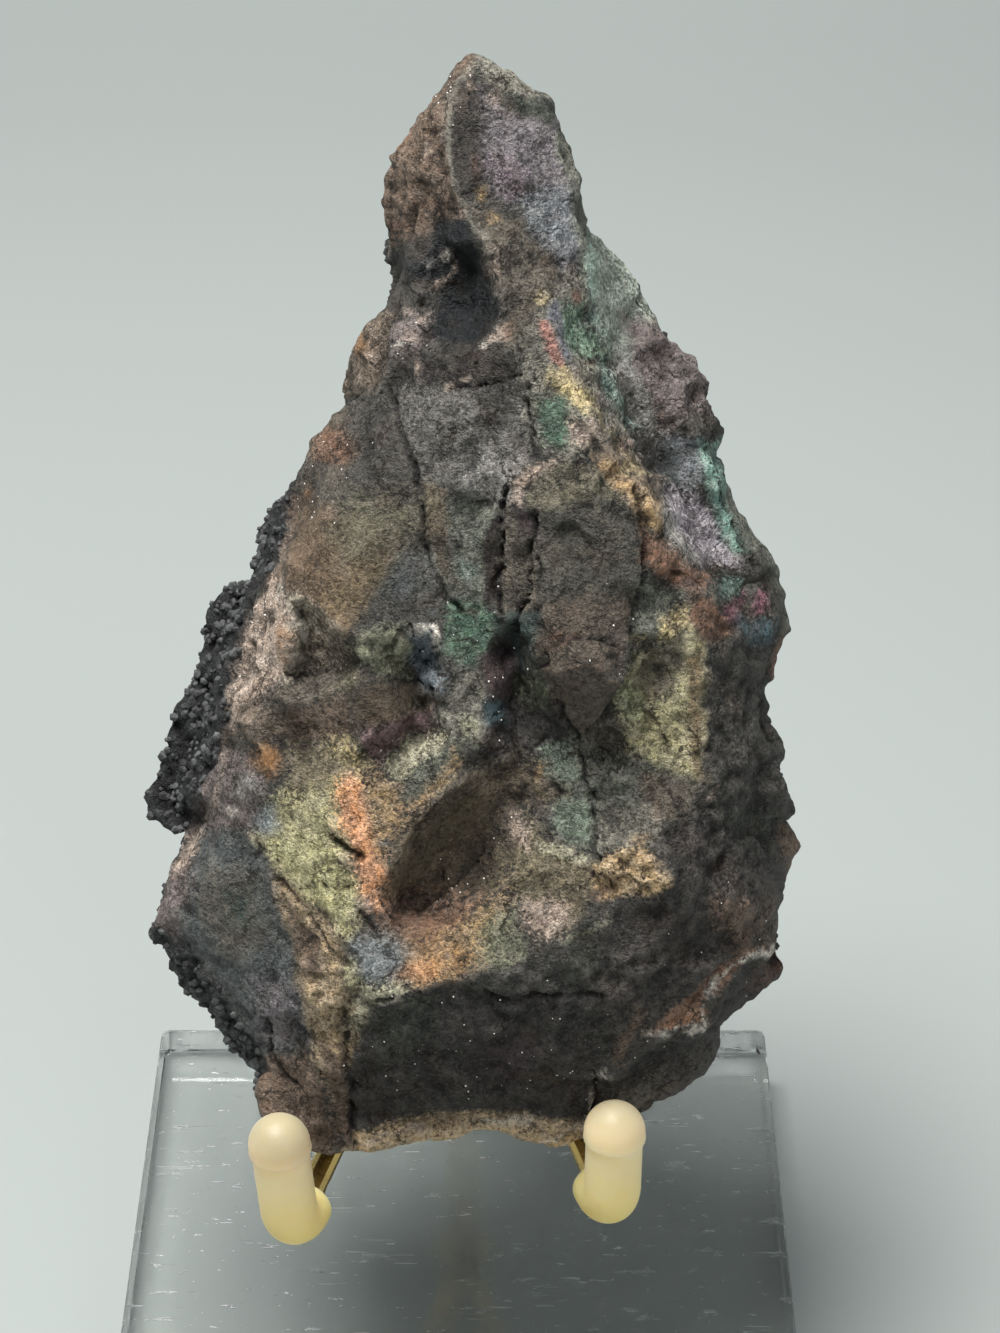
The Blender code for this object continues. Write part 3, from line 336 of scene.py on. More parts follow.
        ("pale green", 6, (556, 800), (590, 802), (594, 838), (570, 840), (555, 825)),
        ("earth", 6, (640, 770), (700, 785), (690, 815), (650, 830), (640, 800)),
        ("rim grey", 6, (600, 805), (650, 800), (660, 830), (640, 850), (605, 855), (595, 830)),
        ("beige", 8, (515, 805), (550, 840), (600, 865), (590, 890), (575, 930), (540, 935), (520, 900),
         (510, 860)),
        ("flesh", 5, (505, 815), (515, 800), (525, 830), (530, 850), (520, 850), (510, 838)),
        ("cream", 4, (540, 840), (565, 845), (590, 860), (585, 866), (560, 858), (540, 850)),
        ("chunk", 3, (596, 868), (610, 856), (640, 842), (655, 858), (664, 880), (655, 890), (630, 895),
         (604, 900), (596, 885)),
        ("sage", 12, (480, 905), (515, 900), (525, 960), (500, 970), (470, 970), (475, 935)),
        ("flesh", 8, (522, 898), (566, 903), (570, 922), (545, 940), (528, 926)),
    ],
    "long hollow": [
        ("hollow brown", 14, (520, 760), (545, 775), (560, 790), (530, 800), (505, 810), (505, 850),
         (490, 885), (450, 905), (400, 905), (378, 900), (390, 860), (420, 825), (450, 790), (480, 770)),
        ("dark olive", 14, (400, 880), (420, 840), (460, 800), (480, 800), (440, 850), (410, 895)),
        ("umber", 10, (500, 820), (505, 850), (480, 880), (440, 895), (420, 892), (450, 875), (485, 845)),
        ("dark olive", 12, (505, 840), (515, 860), (500, 890), (480, 905), (485, 880)),
        ("ledge brown", 16, (380, 900), (440, 900), (480, 900), (460, 940), (420, 955), (385, 935)),
        ("glow", 16, (380, 945), (420, 950), (470, 934), (475, 960), (455, 978), (410, 990), (400, 975),
         (395, 955)),
        ("gold", 12, (450, 935), (480, 910), (510, 885), (500, 905), (475, 945)),
    ],
    "lower left": [
        ("field", 8, (300, 770), (350, 760), (345, 800), (350, 840), (360, 880), (360, 920), (350, 940),
         (300, 900), (265, 860), (250, 835), (275, 800)),
        ("lime", 8, (268, 830), (330, 840), (350, 890), (350, 930), (310, 905), (275, 870)),
        ("pale blue", 6, (245, 820), (275, 805), (280, 825), (262, 835)),
        ("beige", 8, (290, 745), (345, 740), (350, 770), (320, 790), (290, 790)),
        ("orange", 9, (340, 780), (362, 775), (372, 820), (385, 870), (378, 905), (362, 890), (355, 850),
         (342, 820)),
        ("yellow", 9, (330, 735), (350, 745), (368, 765), (362, 780), (348, 765)),
        ("gold", 10, (370, 775), (396, 785), (400, 812), (390, 838), (379, 855), (372, 830)),
        ("grey green", 5, (430, 735), (470, 740), (480, 745), (450, 775), (425, 800), (405, 800),
         (415, 775)),
        ("cream", 5, (386, 762), (400, 745), (430, 730), (445, 735), (425, 755), (410, 775), (395, 780)),
        ("gold", 6, (452, 752), (462, 760), (440, 785), (415, 810), (405, 815), (430, 782)),
        ("rib", 8, (275, 870), (300, 900), (345, 940), (350, 1000), (345, 1060), (335, 1100), (318, 1060),
         (300, 1000), (285, 950), (275, 920)),
        ("flank brown", 8, (285, 905), (315, 935), (325, 975), (305, 980), (288, 945)),
        ("ochre", 6, (345, 940), (365, 960), (370, 1010), (360, 1040), (345, 1080), (340, 1040),
         (345, 1000)),
        ("pale blue", 12, (352, 945), (385, 938), (405, 955), (400, 985), (370, 1000), (352, 985)),
        ("cream", 9, (360, 985), (400, 980), (405, 992), (375, 1008), (362, 1035), (350, 1030)),
    ],
    "lower left facet": [
        ("pink grey", 6, (210, 745), (245, 750), (262, 785), (250, 830), (200, 840), (180, 835), (200, 790)),
        ("slate", 6, (180, 840), (245, 830), (262, 860), (282, 930), (300, 1000), (308, 1050), (270, 1060),
         (230, 1010), (200, 960), (160, 915), (168, 870)),
        ("earth", 12, (215, 870), (255, 880), (265, 940), (225, 950), (200, 900)),
        ("deep teal", 14, (225, 890), (250, 895), (252, 920), (230, 920)),
        ("violet grey", 10, (255, 980), (295, 990), (300, 1040), (270, 1040)),
        ("pink grey", 6, (148, 930), (160, 880), (180, 845), (190, 880), (180, 930), (168, 945)),
        ("flesh", 3, (180, 840), (196, 822), (200, 840), (185, 862), (172, 878)),
    ],
    "foot": [
        ("flank brown", 6, (258, 1060), (305, 1050), (320, 1090), (335, 1130), (330, 1160), (300, 1150),
         (264, 1115)),
        ("flank brown", 6, (320, 1040), (345, 1060), (355, 1110), (345, 1150), (335, 1100)),
        ("charcoal", 6, (560, 955), (600, 915), (660, 900), (760, 910), (784, 930), (745, 965), (700, 1000),
         (660, 1030), (620, 1030), (590, 1000), (560, 985)),
        ("soot", 4, (378, 1005), (420, 992), (480, 975), (520, 985), (600, 1000), (605, 1060), (590, 1112),
         (500, 1117), (400, 1114), (355, 1122), (352, 1060), (362, 1035)),
        ("dark green", 8, (370, 1010), (430, 1005), (430, 1040), (380, 1050)),
        ("maroon", 14, (475, 1045), (530, 1045), (525, 1075), (480, 1075)),
        ("dark grey", 6, (420, 992), (480, 972), (540, 965), (560, 990), (520, 998), (480, 985)),
        ("dark green", 10, (555, 960), (590, 930), (600, 960), (575, 990)),
        ("strip grey", 10, (660, 905), (740, 910), (779, 935), (740, 955), (680, 950), (650, 930)),
        ("flank brown", 8, (715, 900), (765, 900), (779, 930), (740, 945), (715, 925)),
        ("ledge", 3, (772, 943), (745, 965), (720, 990), (705, 1000), (704, 1018), (675, 1030), (650, 1038),
         (665, 1015), (700, 985), (730, 960)),
        ("soot", 3, (776, 948), (790, 968), (768, 1002), (730, 1024), (710, 1017), (712, 1000), (745, 980),
         (762, 962)),
        ("red brown", 7, (770, 960), (786, 970), (762, 988), (748, 990)),
        ("charcoal", 5, (705, 1020), (730, 1030), (728, 1068), (690, 1092), (650, 1118), (625, 1132),
         (610, 1095), (615, 1060), (650, 1040)),
        ("earth", 6, (640, 1080), (665, 1070), (670, 1085), (640, 1110), (625, 1115), (620, 1095)),
        ("flank brown", 4, (632, 1000), (645, 1010), (635, 1040), (622, 1062), (615, 1062), (620, 1040),
         (628, 1015)),
        ("rib", 3, (350, 1127), (420, 1116), (500, 1114), (560, 1117), (590, 1124), (570, 1146), (540, 1154),
         (500, 1138), (450, 1142), (400, 1150), (345, 1158)),
    ],
}

# Spots: shade, column, row, half width, half height, turn in degrees (clockwise), strength
SPOTS = [
    ("flesh", 470, 72, 6, 5, 0, 0.6), ("flesh", 473, 86, 4, 6, 0, 0.6), ("flesh", 494, 95, 10, 9, 30, 0.5),
    ("amber", 406, 140, 6, 12, 30, 0.5), ("flesh", 427, 148, 7, 10, 20, 0.5),
    ("flesh", 408, 155, 5, 7, 20, 0.5), ("flesh", 458, 205, 6, 11, -15, 0.7),
    ("flesh", 392, 212, 5, 6, 0, 0.5), ("red brown", 396, 228, 14, 12, 0, 0.7),
    ("red brown", 430, 205, 16, 7, 0, 0.5), ("flesh", 436, 182, 9, 10, 0, 0.35),
    ("red brown", 478, 168, 6, 20, 0, 0.4), ("gold", 484, 192, 5, 10, 0, 0.9),
    ("gold", 490, 217, 6, 7, 0, 0.8), ("flesh", 458, 215, 6, 5, 0, 0.5), ("white", 446, 258, 8, 6, 0, 0.8),
    ("flesh", 440, 282, 12, 4, -25, 0.9), ("flesh", 452, 270, 4, 7, 20, 0.8),
    ("flesh", 498, 268, 3, 14, -15, 0.8), ("pale grey", 430, 262, 8, 5, 0, 0.6),
    ("flesh", 491, 270, 3, 10, -15, 0.7), ("flesh", 422, 316, 5, 8, 0, 0.6),
    ("flesh", 406, 312, 5, 5, 0, 0.5), ("white", 406, 349, 6, 5, 0, 0.6), ("flesh", 416, 338, 8, 8, 30, 0.5),
    ("flesh", 418, 370, 5, 12, 10, 0.6), ("flesh", 374, 330, 6, 9, 25, 0.45),
    ("flesh", 372, 357, 4, 6, -30, 0.6), ("amber", 360, 347, 9, 14, -20, 0.8),
    ("flesh", 362, 376, 5, 5, 0, 0.5), ("flesh", 496, 334, 12, 7, -30, 0.75),
    ("white", 486, 345, 6, 4, 0, 0.55), ("rust", 508, 330, 8, 9, 0, 0.5),
    ("flesh", 450, 385, 10, 5, -40, 0.6), ("flesh", 463, 378, 9, 4, -10, 0.5),
    ("red brown", 575, 266, 9, 12, 0, 0.45), ("red brown", 548, 262, 8, 12, 0, 0.35),
    ("yellow", 543, 298, 9, 8, 0, 0.7), ("red brown", 577, 297, 9, 10, 0, 0.85),
    ("red brown", 592, 361, 8, 5, 0, 0.85), ("flesh", 575, 378, 9, 5, 40, 0.6),
    ("violet", 600, 398, 8, 10, -30, 0.5), ("magenta", 622, 448, 7, 12, -30, 0.4),
    ("gold", 622, 478, 6, 8, 0, 0.6), ("flesh", 655, 480, 8, 10, -20, 0.5),
    ("gold", 655, 528, 6, 10, 0, 0.6), ("maroon", 688, 584, 10, 8, 30, 0.8),
    ("flesh", 709, 568, 5, 5, 0, 0.6), ("pale green", 712, 596, 9, 4, 20, 0.6),
    ("yellow", 640, 640, 10, 4, -30, 0.5), ("magenta", 758, 604, 9, 12, 0, 0.9),
    ("soot", 690, 368, 14, 6, 0, 0.8), ("soot", 688, 430, 10, 9, 20, 0.9),
    ("rust", 664, 418, 5, 10, -20, 0.5), ("soot", 752, 555, 12, 6, 0, 0.7),
    ("rust", 325, 452, 14, 10, 0, 0.4), ("amber", 305, 492, 5, 14, 0, 0.8),
    ("flesh", 330, 506, 5, 12, 15, 0.35), ("white", 257, 640, 4, 9, 20, 0.2),
    ("white", 250, 676, 4, 8, 30, 0.2), ("white", 266, 660, 3, 10, 20, 0.25),
    ("amber", 283, 640, 5, 26, 0, 0.7), ("white", 278, 590, 4, 10, 0, 0.5),
    ("olive", 250, 650, 10, 3, 0, 0.3), ("amber", 267, 759, 19, 21, 0, 0.95),
    ("gold", 262, 746, 9, 7, 0, 0.3), ("flesh", 245, 722, 18, 6, 15, 0.5),
    ("pale grey", 245, 788, 14, 14, 30, 0.6), ("white", 231, 810, 6, 8, 30, 0.55),
    ("flesh", 218, 748, 5, 14, 10, 0.3), ("teal", 180, 750, 8, 10, 0, 0.25),
    ("slate", 432, 612, 6, 10, 0, 0.5), ("flesh", 470, 616, 10, 4, 20, 0.5),
    ("deep teal", 505, 628, 14, 10, 0, 0.8), ("turquoise", 466, 570, 12, 14, 0, 0.3),
    ("flesh", 432, 704, 7, 3, -20, 0.6), ("pale lime", 468, 728, 12, 14, 0, 0.35),
    ("white", 338, 650, 2, 2, 0, 0.5), ("tongue brown", 583, 700, 14, 9, 0, 0.7),
    ("red brown", 560, 638, 18, 8, -10, 0.5), ("slate", 384, 844, 6, 5, 0, 0.9),
    ("slate", 445, 956, 4, 3, 0, 0.7), ("hollow brown", 402, 852, 12, 54, 26, 0.75),
    ("gold", 536, 770, 6, 10, 0, 0.7), ("flesh", 545, 762, 7, 8, 0, 0.4),
    ("dark olive", 535, 790, 20, 7, 18, 0.9), ("gold", 640, 836, 16, 8, -20, 0.5),
    ("rust", 604, 892, 14, 6, -10, 0.5), ("soot", 560, 955, 14, 14, 0, 0.4),
    ("flesh", 712, 792, 4, 12, 15, 0.6), ("flesh", 660, 812, 8, 8, 0, 0.35),
    ("maroon", 700, 838, 20, 16, 0, 0.3), ("slate", 384, 955, 12, 10, 0, 0.3),
    ("lime", 352, 975, 12, 22, 0, 0.6), ("orange", 418, 972, 26, 14, -6, 0.4),
    ("flesh", 364, 905, 10, 12, 0, 0.5), ("flesh", 348, 862, 14, 8, 20, 0.4),
    ("ledge brown", 445, 1125, 30, 5, 0, 0.6), ("pink grey", 415, 1126, 14, 6, 0, 0.6),
    ("white", 603, 1076, 8, 7, 0, 0.95), ("soot", 598, 1090, 9, 8, 0, 0.9),
    ("white", 648, 1036, 4, 4, 0, 0.8), ("flesh", 648, 1036, 7, 7, 0, 0.5),
    ("white", 712, 996, 4, 3, 0, 0.7), ("ledge brown", 696, 1012, 12, 7, -30, 0.5),
    ("rust", 740, 970, 12, 7, -40, 0.6), ("flesh", 752, 905, 6, 3, 0, 0.5),
    ("moss", 420, 1003, 22, 4, 0, 0.5), ("red brown", 780, 950, 4, 20, 0, 0.5),
    ("ledge brown", 680, 1010, 18, 10, -35, 0.5),
]

# Coloured lines: shade, half width, strength, and the columns and rows that they run through
STREAKS = [
    ("white", 1.6, 0.95, [(405, 630), (412, 626), (424, 628), (434, 628), (441, 640), (443, 650)]),
    ("rim grey", 3.0, 0.6, [(474, 66), (462, 82), (450, 105), (445, 130), (447, 160), (458, 190), (470, 215),
     (484, 240)]),
    ("flesh", 2.6, 0.6, [(196, 838), (212, 800), (222, 760), (230, 722), (240, 680), (252, 636), (268, 590),
     (286, 530)]),
    ("orange", 2.0, 0.3, [(706, 1012), (690, 1024), (664, 1032)]),
    ("white", 2.4, 0.9, [(772, 943), (760, 954), (748, 962)]),
    ("white", 1.5, 0.85, [(748, 962), (734, 967), (724, 976), (714, 988), (707, 996)]),
    ("white", 1.3, 0.75, [(706, 1008), (703, 1021), (688, 1029), (664, 1034), (650, 1038)]),
    ("white", 2.0, 0.7, [(592, 1098), (593, 1110), (585, 1122), (560, 1134), (540, 1140)]),
    ("white", 2.5, 0.6, [(484, 1126), (505, 1121), (530, 1121)]),
    ("flesh", 2.5, 0.5, [(532, 1121), (545, 1128), (560, 1126), (580, 1122)]),
    ("flesh", 2.2, 0.55, [(350, 1142), (380, 1134), (410, 1126), (450, 1130)]),
    ("cream", 2.5, 0.45, [(610, 920), (590, 936), (566, 940)]),
    ("yellow", 2.4, 0.5, [(594, 402), (602, 424), (616, 446), (640, 478)]),
    ("flank brown", 1.6, 0.7, [(552, 684), (566, 672), (600, 669), (615, 686)]),
    ("turquoise", 2.5, 0.5, [(588, 232), (594, 262), (600, 300), (608, 350)]),
]

# Cracks: half width, depth in millimetres, and the columns and rows that they run through
CRACKS = [
    (2.2, 0.9, [(386, 384), (393, 412), (403, 440), (412, 462), (418, 478), (420, 490)]),
    (2.0, 0.7, [(420, 490), (423, 510), (426, 545), (434, 572), (448, 598), (462, 612)]),
    (1.8, 0.7, [(530, 385), (528, 400), (531, 430), (533, 455)]),
    (2.6, 1.0, [(506, 490), (502, 520), (499, 560), (497, 590), (503, 610)]),
    (2.2, 0.9, [(535, 515), (533, 535), (528, 550), (526, 590), (520, 610), (516, 630)]),
    (1.8, 0.7, [(538, 560), (536, 600), (538, 640), (541, 668)]),
    (2.2, 0.9, [(634, 490), (645, 520), (646, 560), (640, 600), (634, 640), (630, 680), (622, 702),
     (608, 718), (588, 736)]),
    (2.0, 0.9, [(556, 704), (566, 724), (578, 740)]),
    (1.8, 0.7, [(575, 742), (584, 770), (592, 800), (596, 830), (594, 850), (604, 878), (612, 888)]),
    (1.6, 0.5, [(556, 640), (580, 638), (600, 640), (622, 650)]),
    (1.8, 0.6, [(402, 682), (420, 681), (440, 690)]),
    (1.8, 0.6, [(362, 711), (371, 717), (379, 719)]),
    (2.6, 1.1, [(333, 838), (345, 847), (360, 858)]),
    (1.6, 0.5, [(312, 878), (330, 890), (352, 888)]),
    (2.4, 1.0, [(359, 914), (368, 922), (378, 936)]),
    (1.5, 0.5, [(278, 880), (300, 905), (316, 930), (334, 950)]),
    (2.0, 0.7, [(480, 986), (500, 998), (530, 996), (560, 990), (600, 992)]),
    (1.6, 0.6, [(370, 1002), (392, 998), (420, 990)]),
    (2.4, 1.0, [(340, 1012), (344, 1050), (350, 1085), (352, 1120), (356, 1146)]),
    (1.8, 0.7, [(268, 1020), (272, 1050), (280, 1075), (300, 1090)]),
    (1.6, 0.5, [(640, 705), (655, 722), (668, 750), (676, 756)]),
    (1.5, 0.5, [(716, 470), (728, 510), (742, 545), (752, 566)]),
    (2.2, 0.9, [(388, 646), (400, 634), (412, 628)]),
    (1.8, 0.6, [(524, 762), (532, 748), (546, 738)]),
    (1.8, 0.6, [(528, 770), (548, 780), (566, 792)]),
    (1.5, 0.5, [(640, 660), (648, 668), (656, 672)]),
    (1.5, 0.5, [(700, 585), (690, 575), (676, 572)]),
    (1.5, 0.5, [(448, 388), (478, 384), (505, 380), (520, 374)]),
    (2.0, 0.8, [(414, 905), (430, 898), (450, 886), (468, 868), (482, 846)]),
    (2.2, 0.9, [(600, 1066), (594, 1084), (598, 1104), (590, 1120)]),
    (1.6, 0.5, [(282, 672), (296, 678), (316, 672), (334, 668)]),
    (1.5, 0.5, [(256, 830), (258, 848), (252, 862)]),
]

# Where the stone is smooth: column, row, half width, half height, turn in degrees, strength
SMOOTH_PLACES = [
    (345, 560, 80, 90, 20, 0.85), (300, 850, 52, 62, 0, 0.6), (585, 700, 34, 34, 0, 0.95),
    (450, 845, 92, 34, -42, 0.95), (430, 930, 60, 16, -14, 0.6), (268, 757, 16, 18, 0, 1.0),
    (330, 700, 60, 20, -24, 0.6), (500, 690, 22, 60, 0, 0.7), (390, 700, 60, 50, 0, 0.6),
    (425, 950, 46, 34, -10, 0.8), (362, 830, 14, 60, -4, 0.5), (225, 930, 60, 80, 20, 0.5),
    (620, 330, 18, 110, -18, 0.7), (280, 625, 12, 60, 4, 0.6), (464, 300, 36, 50, 8, 0.4),
    (425, 655, 24, 40, 0, 0.6),
]

# Where the stone is coarse and chipped: the same fields
COARSE_PLACES = [
    (412, 170, 40, 90, 10, 1.0), (610, 470, 60, 60, 0, 0.9), (600, 840, 90, 70, 0, 0.9),
    (740, 780, 60, 140, 0, 0.8), (330, 1000, 50, 110, -10, 0.9), (368, 355, 30, 50, 0, 1.0),
    (430, 320, 50, 60, 0, 0.8), (690, 400, 40, 80, -20, 1.0), (640, 706, 20, 24, 0, 1.0),
    (300, 860, 60, 60, 0, 0.6), (600, 1000, 220, 60, -20, 0.6), (640, 870, 40, 26, 0, 1.0),
    (458, 1040, 120, 60, 0, 0.5), (190, 900, 40, 60, 0, 0.5), (255, 650, 30, 90, 14, 0.8),
    (450, 900, 30, 20, -40, 0.6),
]

# Where quartz glints: column, row, half width, half height, turn in degrees, strength
GLINT_PLACES = [
    (448, 890, 26, 12, -30, 1.0), (415, 345, 30, 40, 0, 0.35), (470, 850, 60, 40, -40, 0.25),
    (500, 700, 24, 70, 0, 0.25), (258, 650, 22, 80, 14, 0.35), (500, 1050, 160, 70, 0, 0.18),
    (440, 100, 30, 60, 20, 0.3), (330, 480, 50, 60, 0, 0.15), (600, 600, 60, 80, 0, 0.12),
    (700, 950, 90, 60, -20, 0.2), (390, 735, 30, 20, 0, 0.25), (470, 620, 80, 60, 0, 0.15),
]

# Crust seen from the front: corners' columns and rows
CRUST_FIELDS = [
    [(304, 462), (296, 500), (282, 540), (264, 580), (252, 610), (243, 640), (230, 690), (222, 735),
     (206, 780), (192, 818), (170, 850), (110, 850), (110, 462)],
    [(140, 922), (168, 932), (200, 968), (226, 1003), (254, 1038), (274, 1066), (262, 1085), (225, 1065),
     (180, 1015), (140, 965)],
]

# Places that stand a little further out than the plain solid: column, row, half width, half height, turn, mm
FILLED_PLACES = [
    (294, 632, 20, 40, 0, 0.8), (424, 660, 18, 36, 0, 0.7), (500, 690, 12, 40, 0, 0.3),
]

# Layers of small tilted faces: size and height in mm, shift and crispness of the pattern, what is left of it
# where the stone is smooth, its level on plain stone, and what coarse stone adds
FACET_LAYERS = [
    (8.0, 1.00, 24.0, 18.0, 0.15, 1.0, 0.0),
    (4.2, 0.85, 21.0, 15.0, 0.20, 1.0, 0.0),
    (2.1, 0.50, 22.0, 13.0, 0.15, 0.6, 0.8),
    (1.1, 0.34, 23.0, 11.0, 0.30, 0.6, 0.9),
]

# How finely the stone's solid is divided, the angle from which its edges are held sharp, and how firmly
FINE_LEVELS = 2
SHARP_ANGLE = math.radians(27.0)
CREASE_HOLD = 0.7

# How far patches and cracks wander, in columns, and the size in mm of what they wander by
WANDER = 7.0
WANDER_SIZE = 3.0
COLOUR_WANDER = 6.0

# Relief in mm between which the face gives way to the crust of the back
CRUST_RELIEF = (-9.0, -6.6)

# Sizes of the crust's small and large knobs in mm
KNOB_SIZE, BIG_KNOB_SIZE = 1.7, 4.2

# Noise scales of the stone's grain, from clouds to sand, in turns per metre
CLOUD_SCALE, MOTTLE_SCALE, GRAIN_SCALE, SAND_SCALE = 240.0, 620.0, 2600.0, 7000.0

# Scales of the chips and bits of broken stone, and of the wide and narrow hairlines, in turns per metre
CHIP_SCALE, BIT_SCALE = 1200.0, 3200.0
HAIRLINE_SCALE, FINE_HAIRLINE_SCALE = 170.0, 430.0

# Rounds of smoothing that an edge is measured against, and the height in mm of a full edge, for the painted
# light on proud places and painted shade in dips
FINE_RELIEF_SHADING = (6, 0.16)
BROAD_RELIEF_SHADING = (40, 0.5)

# Loose grains: how many a square metre at full cover, the smallest's share of the largest, and the seed
GRANULES = (620000.0, 0.35, 7)
GLINTS = (700000.0, 0.3, 12)

# Least and greatest turns in radians and stretches of a loose grain
GRAIN_TURNS = ((0.0, 0.0, 0.0), (6.28, 6.28, 6.28))
GRAIN_STRETCHES = ((0.7, 0.7, 0.6), (1.25, 1.2, 1.0))

# Numbers of a common hash, which gives each centre a tilt by chance
HASH_ROWS = ((12.9898, 39.346, 73.156), (78.233, 11.135, 52.235), (37.719, 83.155, 9.151))
HASH_SCALE = 43758.5453

# Linear colours of iron stain and of the painted shade in pits
STAIN_COLOUR = (0.17, 0.10, 0.06)
PIT_SHADE_COLOUR = (0.014, 0.013, 0.012)

HALF = (0.5, 0.5, 0.5)
UP = Vector((0.0, 0.0, 1.0))


class StoneSettings(bpy.types.PropertyGroup):
    """Sizes and strengths of the stone's surface."""

    relief: bpy.props.FloatProperty(
        name="Relief", description="Strength of the broken surface", default=1.0, min=0.0, max=2.0,
        subtype="FACTOR",
    )
    crack_depth: bpy.props.FloatProperty(
        name="Crack depth", description="How deep the cracks are, against their own depths", default=1.0,
        min=0.0, max=2.0, subtype="FACTOR",
    )
    colour_strength: bpy.props.FloatProperty(
        name="Colour strength", description="How lively the colours are", default=0.92, min=0.0, max=2.0,
        subtype="FACTOR",
    )
    brightness: bpy.props.FloatProperty(
        name="Brightness", description="Share of the laid colours' light", default=1.03, min=0.0, max=3.0,
    )
    granule_size: bpy.props.FloatProperty(
        name="Granule size", description="Radius of the crust's largest granules", default=0.00062,
        unit="LENGTH",
    )
    glint_size: bpy.props.FloatProperty(
        name="Glint size", description="Radius of the largest quartz grains", default=0.00012, unit="LENGTH",
    )


class StandSettings(bpy.types.PropertyGroup):
    """Sizes and colours of the stand's finish."""

    sleeve_radius: bpy.props.FloatProperty(
        name="Sleeve radius", description="Radius of the silicone sleeves", default=0.00272, unit="LENGTH",
    )
    tip_radius: bpy.props.FloatProperty(
        name="Tip radius", description="Radius of a sleeve's rounded tip", default=0.00293, unit="LENGTH",
    )
    cap_radius: bpy.props.FloatProperty(
        name="Cap radius", description="Radius of the post's silicone cap", default=0.0032, unit="LENGTH",
    )
    cap_length: bpy.props.FloatProperty(
        name="Cap length", description="Length of the post's cap below the post's top", default=0.009,
        unit="LENGTH",
    )
    silicone_colour: bpy.props.FloatVectorProperty(
        name="Silicone", description="Colour of the sleeves and the cap", default=(1.0, 0.68, 0.26),
        subtype="COLOR",
    )
    brass_colour: bpy.props.FloatVectorProperty(
        name="Brass", description="Colour of the polished brass", default=(0.78, 0.56, 0.20), subtype="COLOR",
    )
    acrylic_colour: bpy.props.FloatVectorProperty(
        name="Acrylic", description="Tint of the clear base", default=(0.985, 0.995, 0.99), subtype="COLOR",
    )


class StageSettings(bpy.types.PropertyGroup):
    """Floor and light."""

    floor_colour: bpy.props.FloatVectorProperty(
        name="Floor", description="Colour of the floor", default=(0.34, 0.37, 0.36), subtype="COLOR",
    )
    key_power: bpy.props.FloatProperty(
        name="Key light", description="Power of the large light overhead", default=6.3, unit="POWER",
    )
    fill_power: bpy.props.FloatProperty(
        name="Fill light", description="Power of the light beside the eye", default=1.6, unit="POWER",
    )


class Signal:
    """A socket of a node tree. Arithmetic on it adds Math nodes."""

    def __init__(self, board, socket):
        self.board = board
        self.socket = socket

    def math(self, operation, *terms):
        return self.board.add("ShaderNodeMath", {"operation": operation}, list(terms))

    def __add__(self, other):
        return self.math("ADD", self, other)

    def __radd__(self, other):
        return self.math("ADD", other, self)

    def __sub__(self, other):
        return self.math("SUBTRACT", self, other)

    def __rsub__(self, other):
        return self.math("SUBTRACT", other, self)

    def __mul__(self, other):
        return self.math("MULTIPLY", self, other)

    def __rmul__(self, other):
        return self.math("MULTIPLY", other, self)

    def rise(self, low, high):
        """From 0 at low to 1 at high, eased at both ends."""
        sockets = {"Value": self, "From Min": low, "From Max": high}
        return self.board.add("ShaderNodeMapRange", {"interpolation_type": "SMOOTHSTEP"}, sockets)


class Board:
    """A node tree that is being wired."""

    def __init__(self, tree):
        self.tree = tree

    def add(self, kind, settings=None, sockets=None, output=0):
        """Adds a node, sets its settings, then its sockets, and returns the wanted output."""
        node = self.tree.nodes.new(kind)
        for name, value in (settings or {}).items():
            setattr(node, name, value)
        pairs = enumerate(sockets) if isinstance(sockets, list) else (sockets or {}).items()
        for name, value in pairs:
            if isinstance(value, Signal):
                self.tree.links.new(value.socket, node.inputs[name])
            else:
                node.inputs[name].default_value = value
        return Signal(self, node.outputs[output]) if node.outputs else node

    def mix(self, share, a, b, blend="MIX"):
        """Mixes two colours."""
        a = a if isinstance(a, Signal) else (*a, 1.0)
        b = b if isinstance(b, Signal) else (*b, 1.0)
        settings = {"data_type": "RGBA", "blend_type": blend, "clamp_factor": True}
        return self.add("ShaderNodeMix", settings, {0: share, 6: a, 7: b}, output=2)

    def noise(self, place, scale, detail=4.0, roughness=0.6, output="Fac"):
        sockets = {"Vector": place, "Scale": scale, "Detail": detail, "Roughness": roughness}
        return self.add("ShaderNodeTexNoise", None, sockets, output)

    def attribute(self, name, output="Fac"):
        return self.add("ShaderNodeAttribute", {"attribute_name": name}, None, output)

    def vector(self, operation, *terms):
        return self.add("ShaderNodeVectorMath", {"operation": operation}, list(terms))

    def scaled(self, vector, scale):
        return self.add("ShaderNodeVectorMath", {"operation": "SCALE"}, {0: vector, "Scale": scale})

    def warped(self, place, scale, roughness, reach):
        """The place, pushed about by noise."""
        push = self.noise(place, scale, 3.0, roughness, "Color")
        return self.vector("ADD", place, self.scaled(self.vector("SUBTRACT", push, HALF), reach))

    def bump(self, strength, distance, height):
        sockets = {"Strength": strength, "Distance": distance, "Height": height}
        return self.add("ShaderNodeBump", None, sockets, "Normal")


def new_material(name):
    """A material, its Principled shader, its wiring board and the place in Object coordinates."""
    material = bpy.data.materials.new(name)
    material.use_nodes = True
    tree = material.node_tree
    board = Board(tree)
    place = board.add("ShaderNodeTexCoord", None, None, "Object")
    return material, tree.nodes["Principled BSDF"], board, place


def wire(board, shader, name, signal):
    board.tree.links.new(signal.socket, shader.inputs[name])


def linear(shade):
    """A shade of 0 to 255 as linear light."""
    value = np.array(SHADES[shade] if isinstance(shade, str) else shade) / 255.0
    return np.where(value <= 0.04045, value / 12.92, ((value + 0.055) / 1.055) ** 2.4)


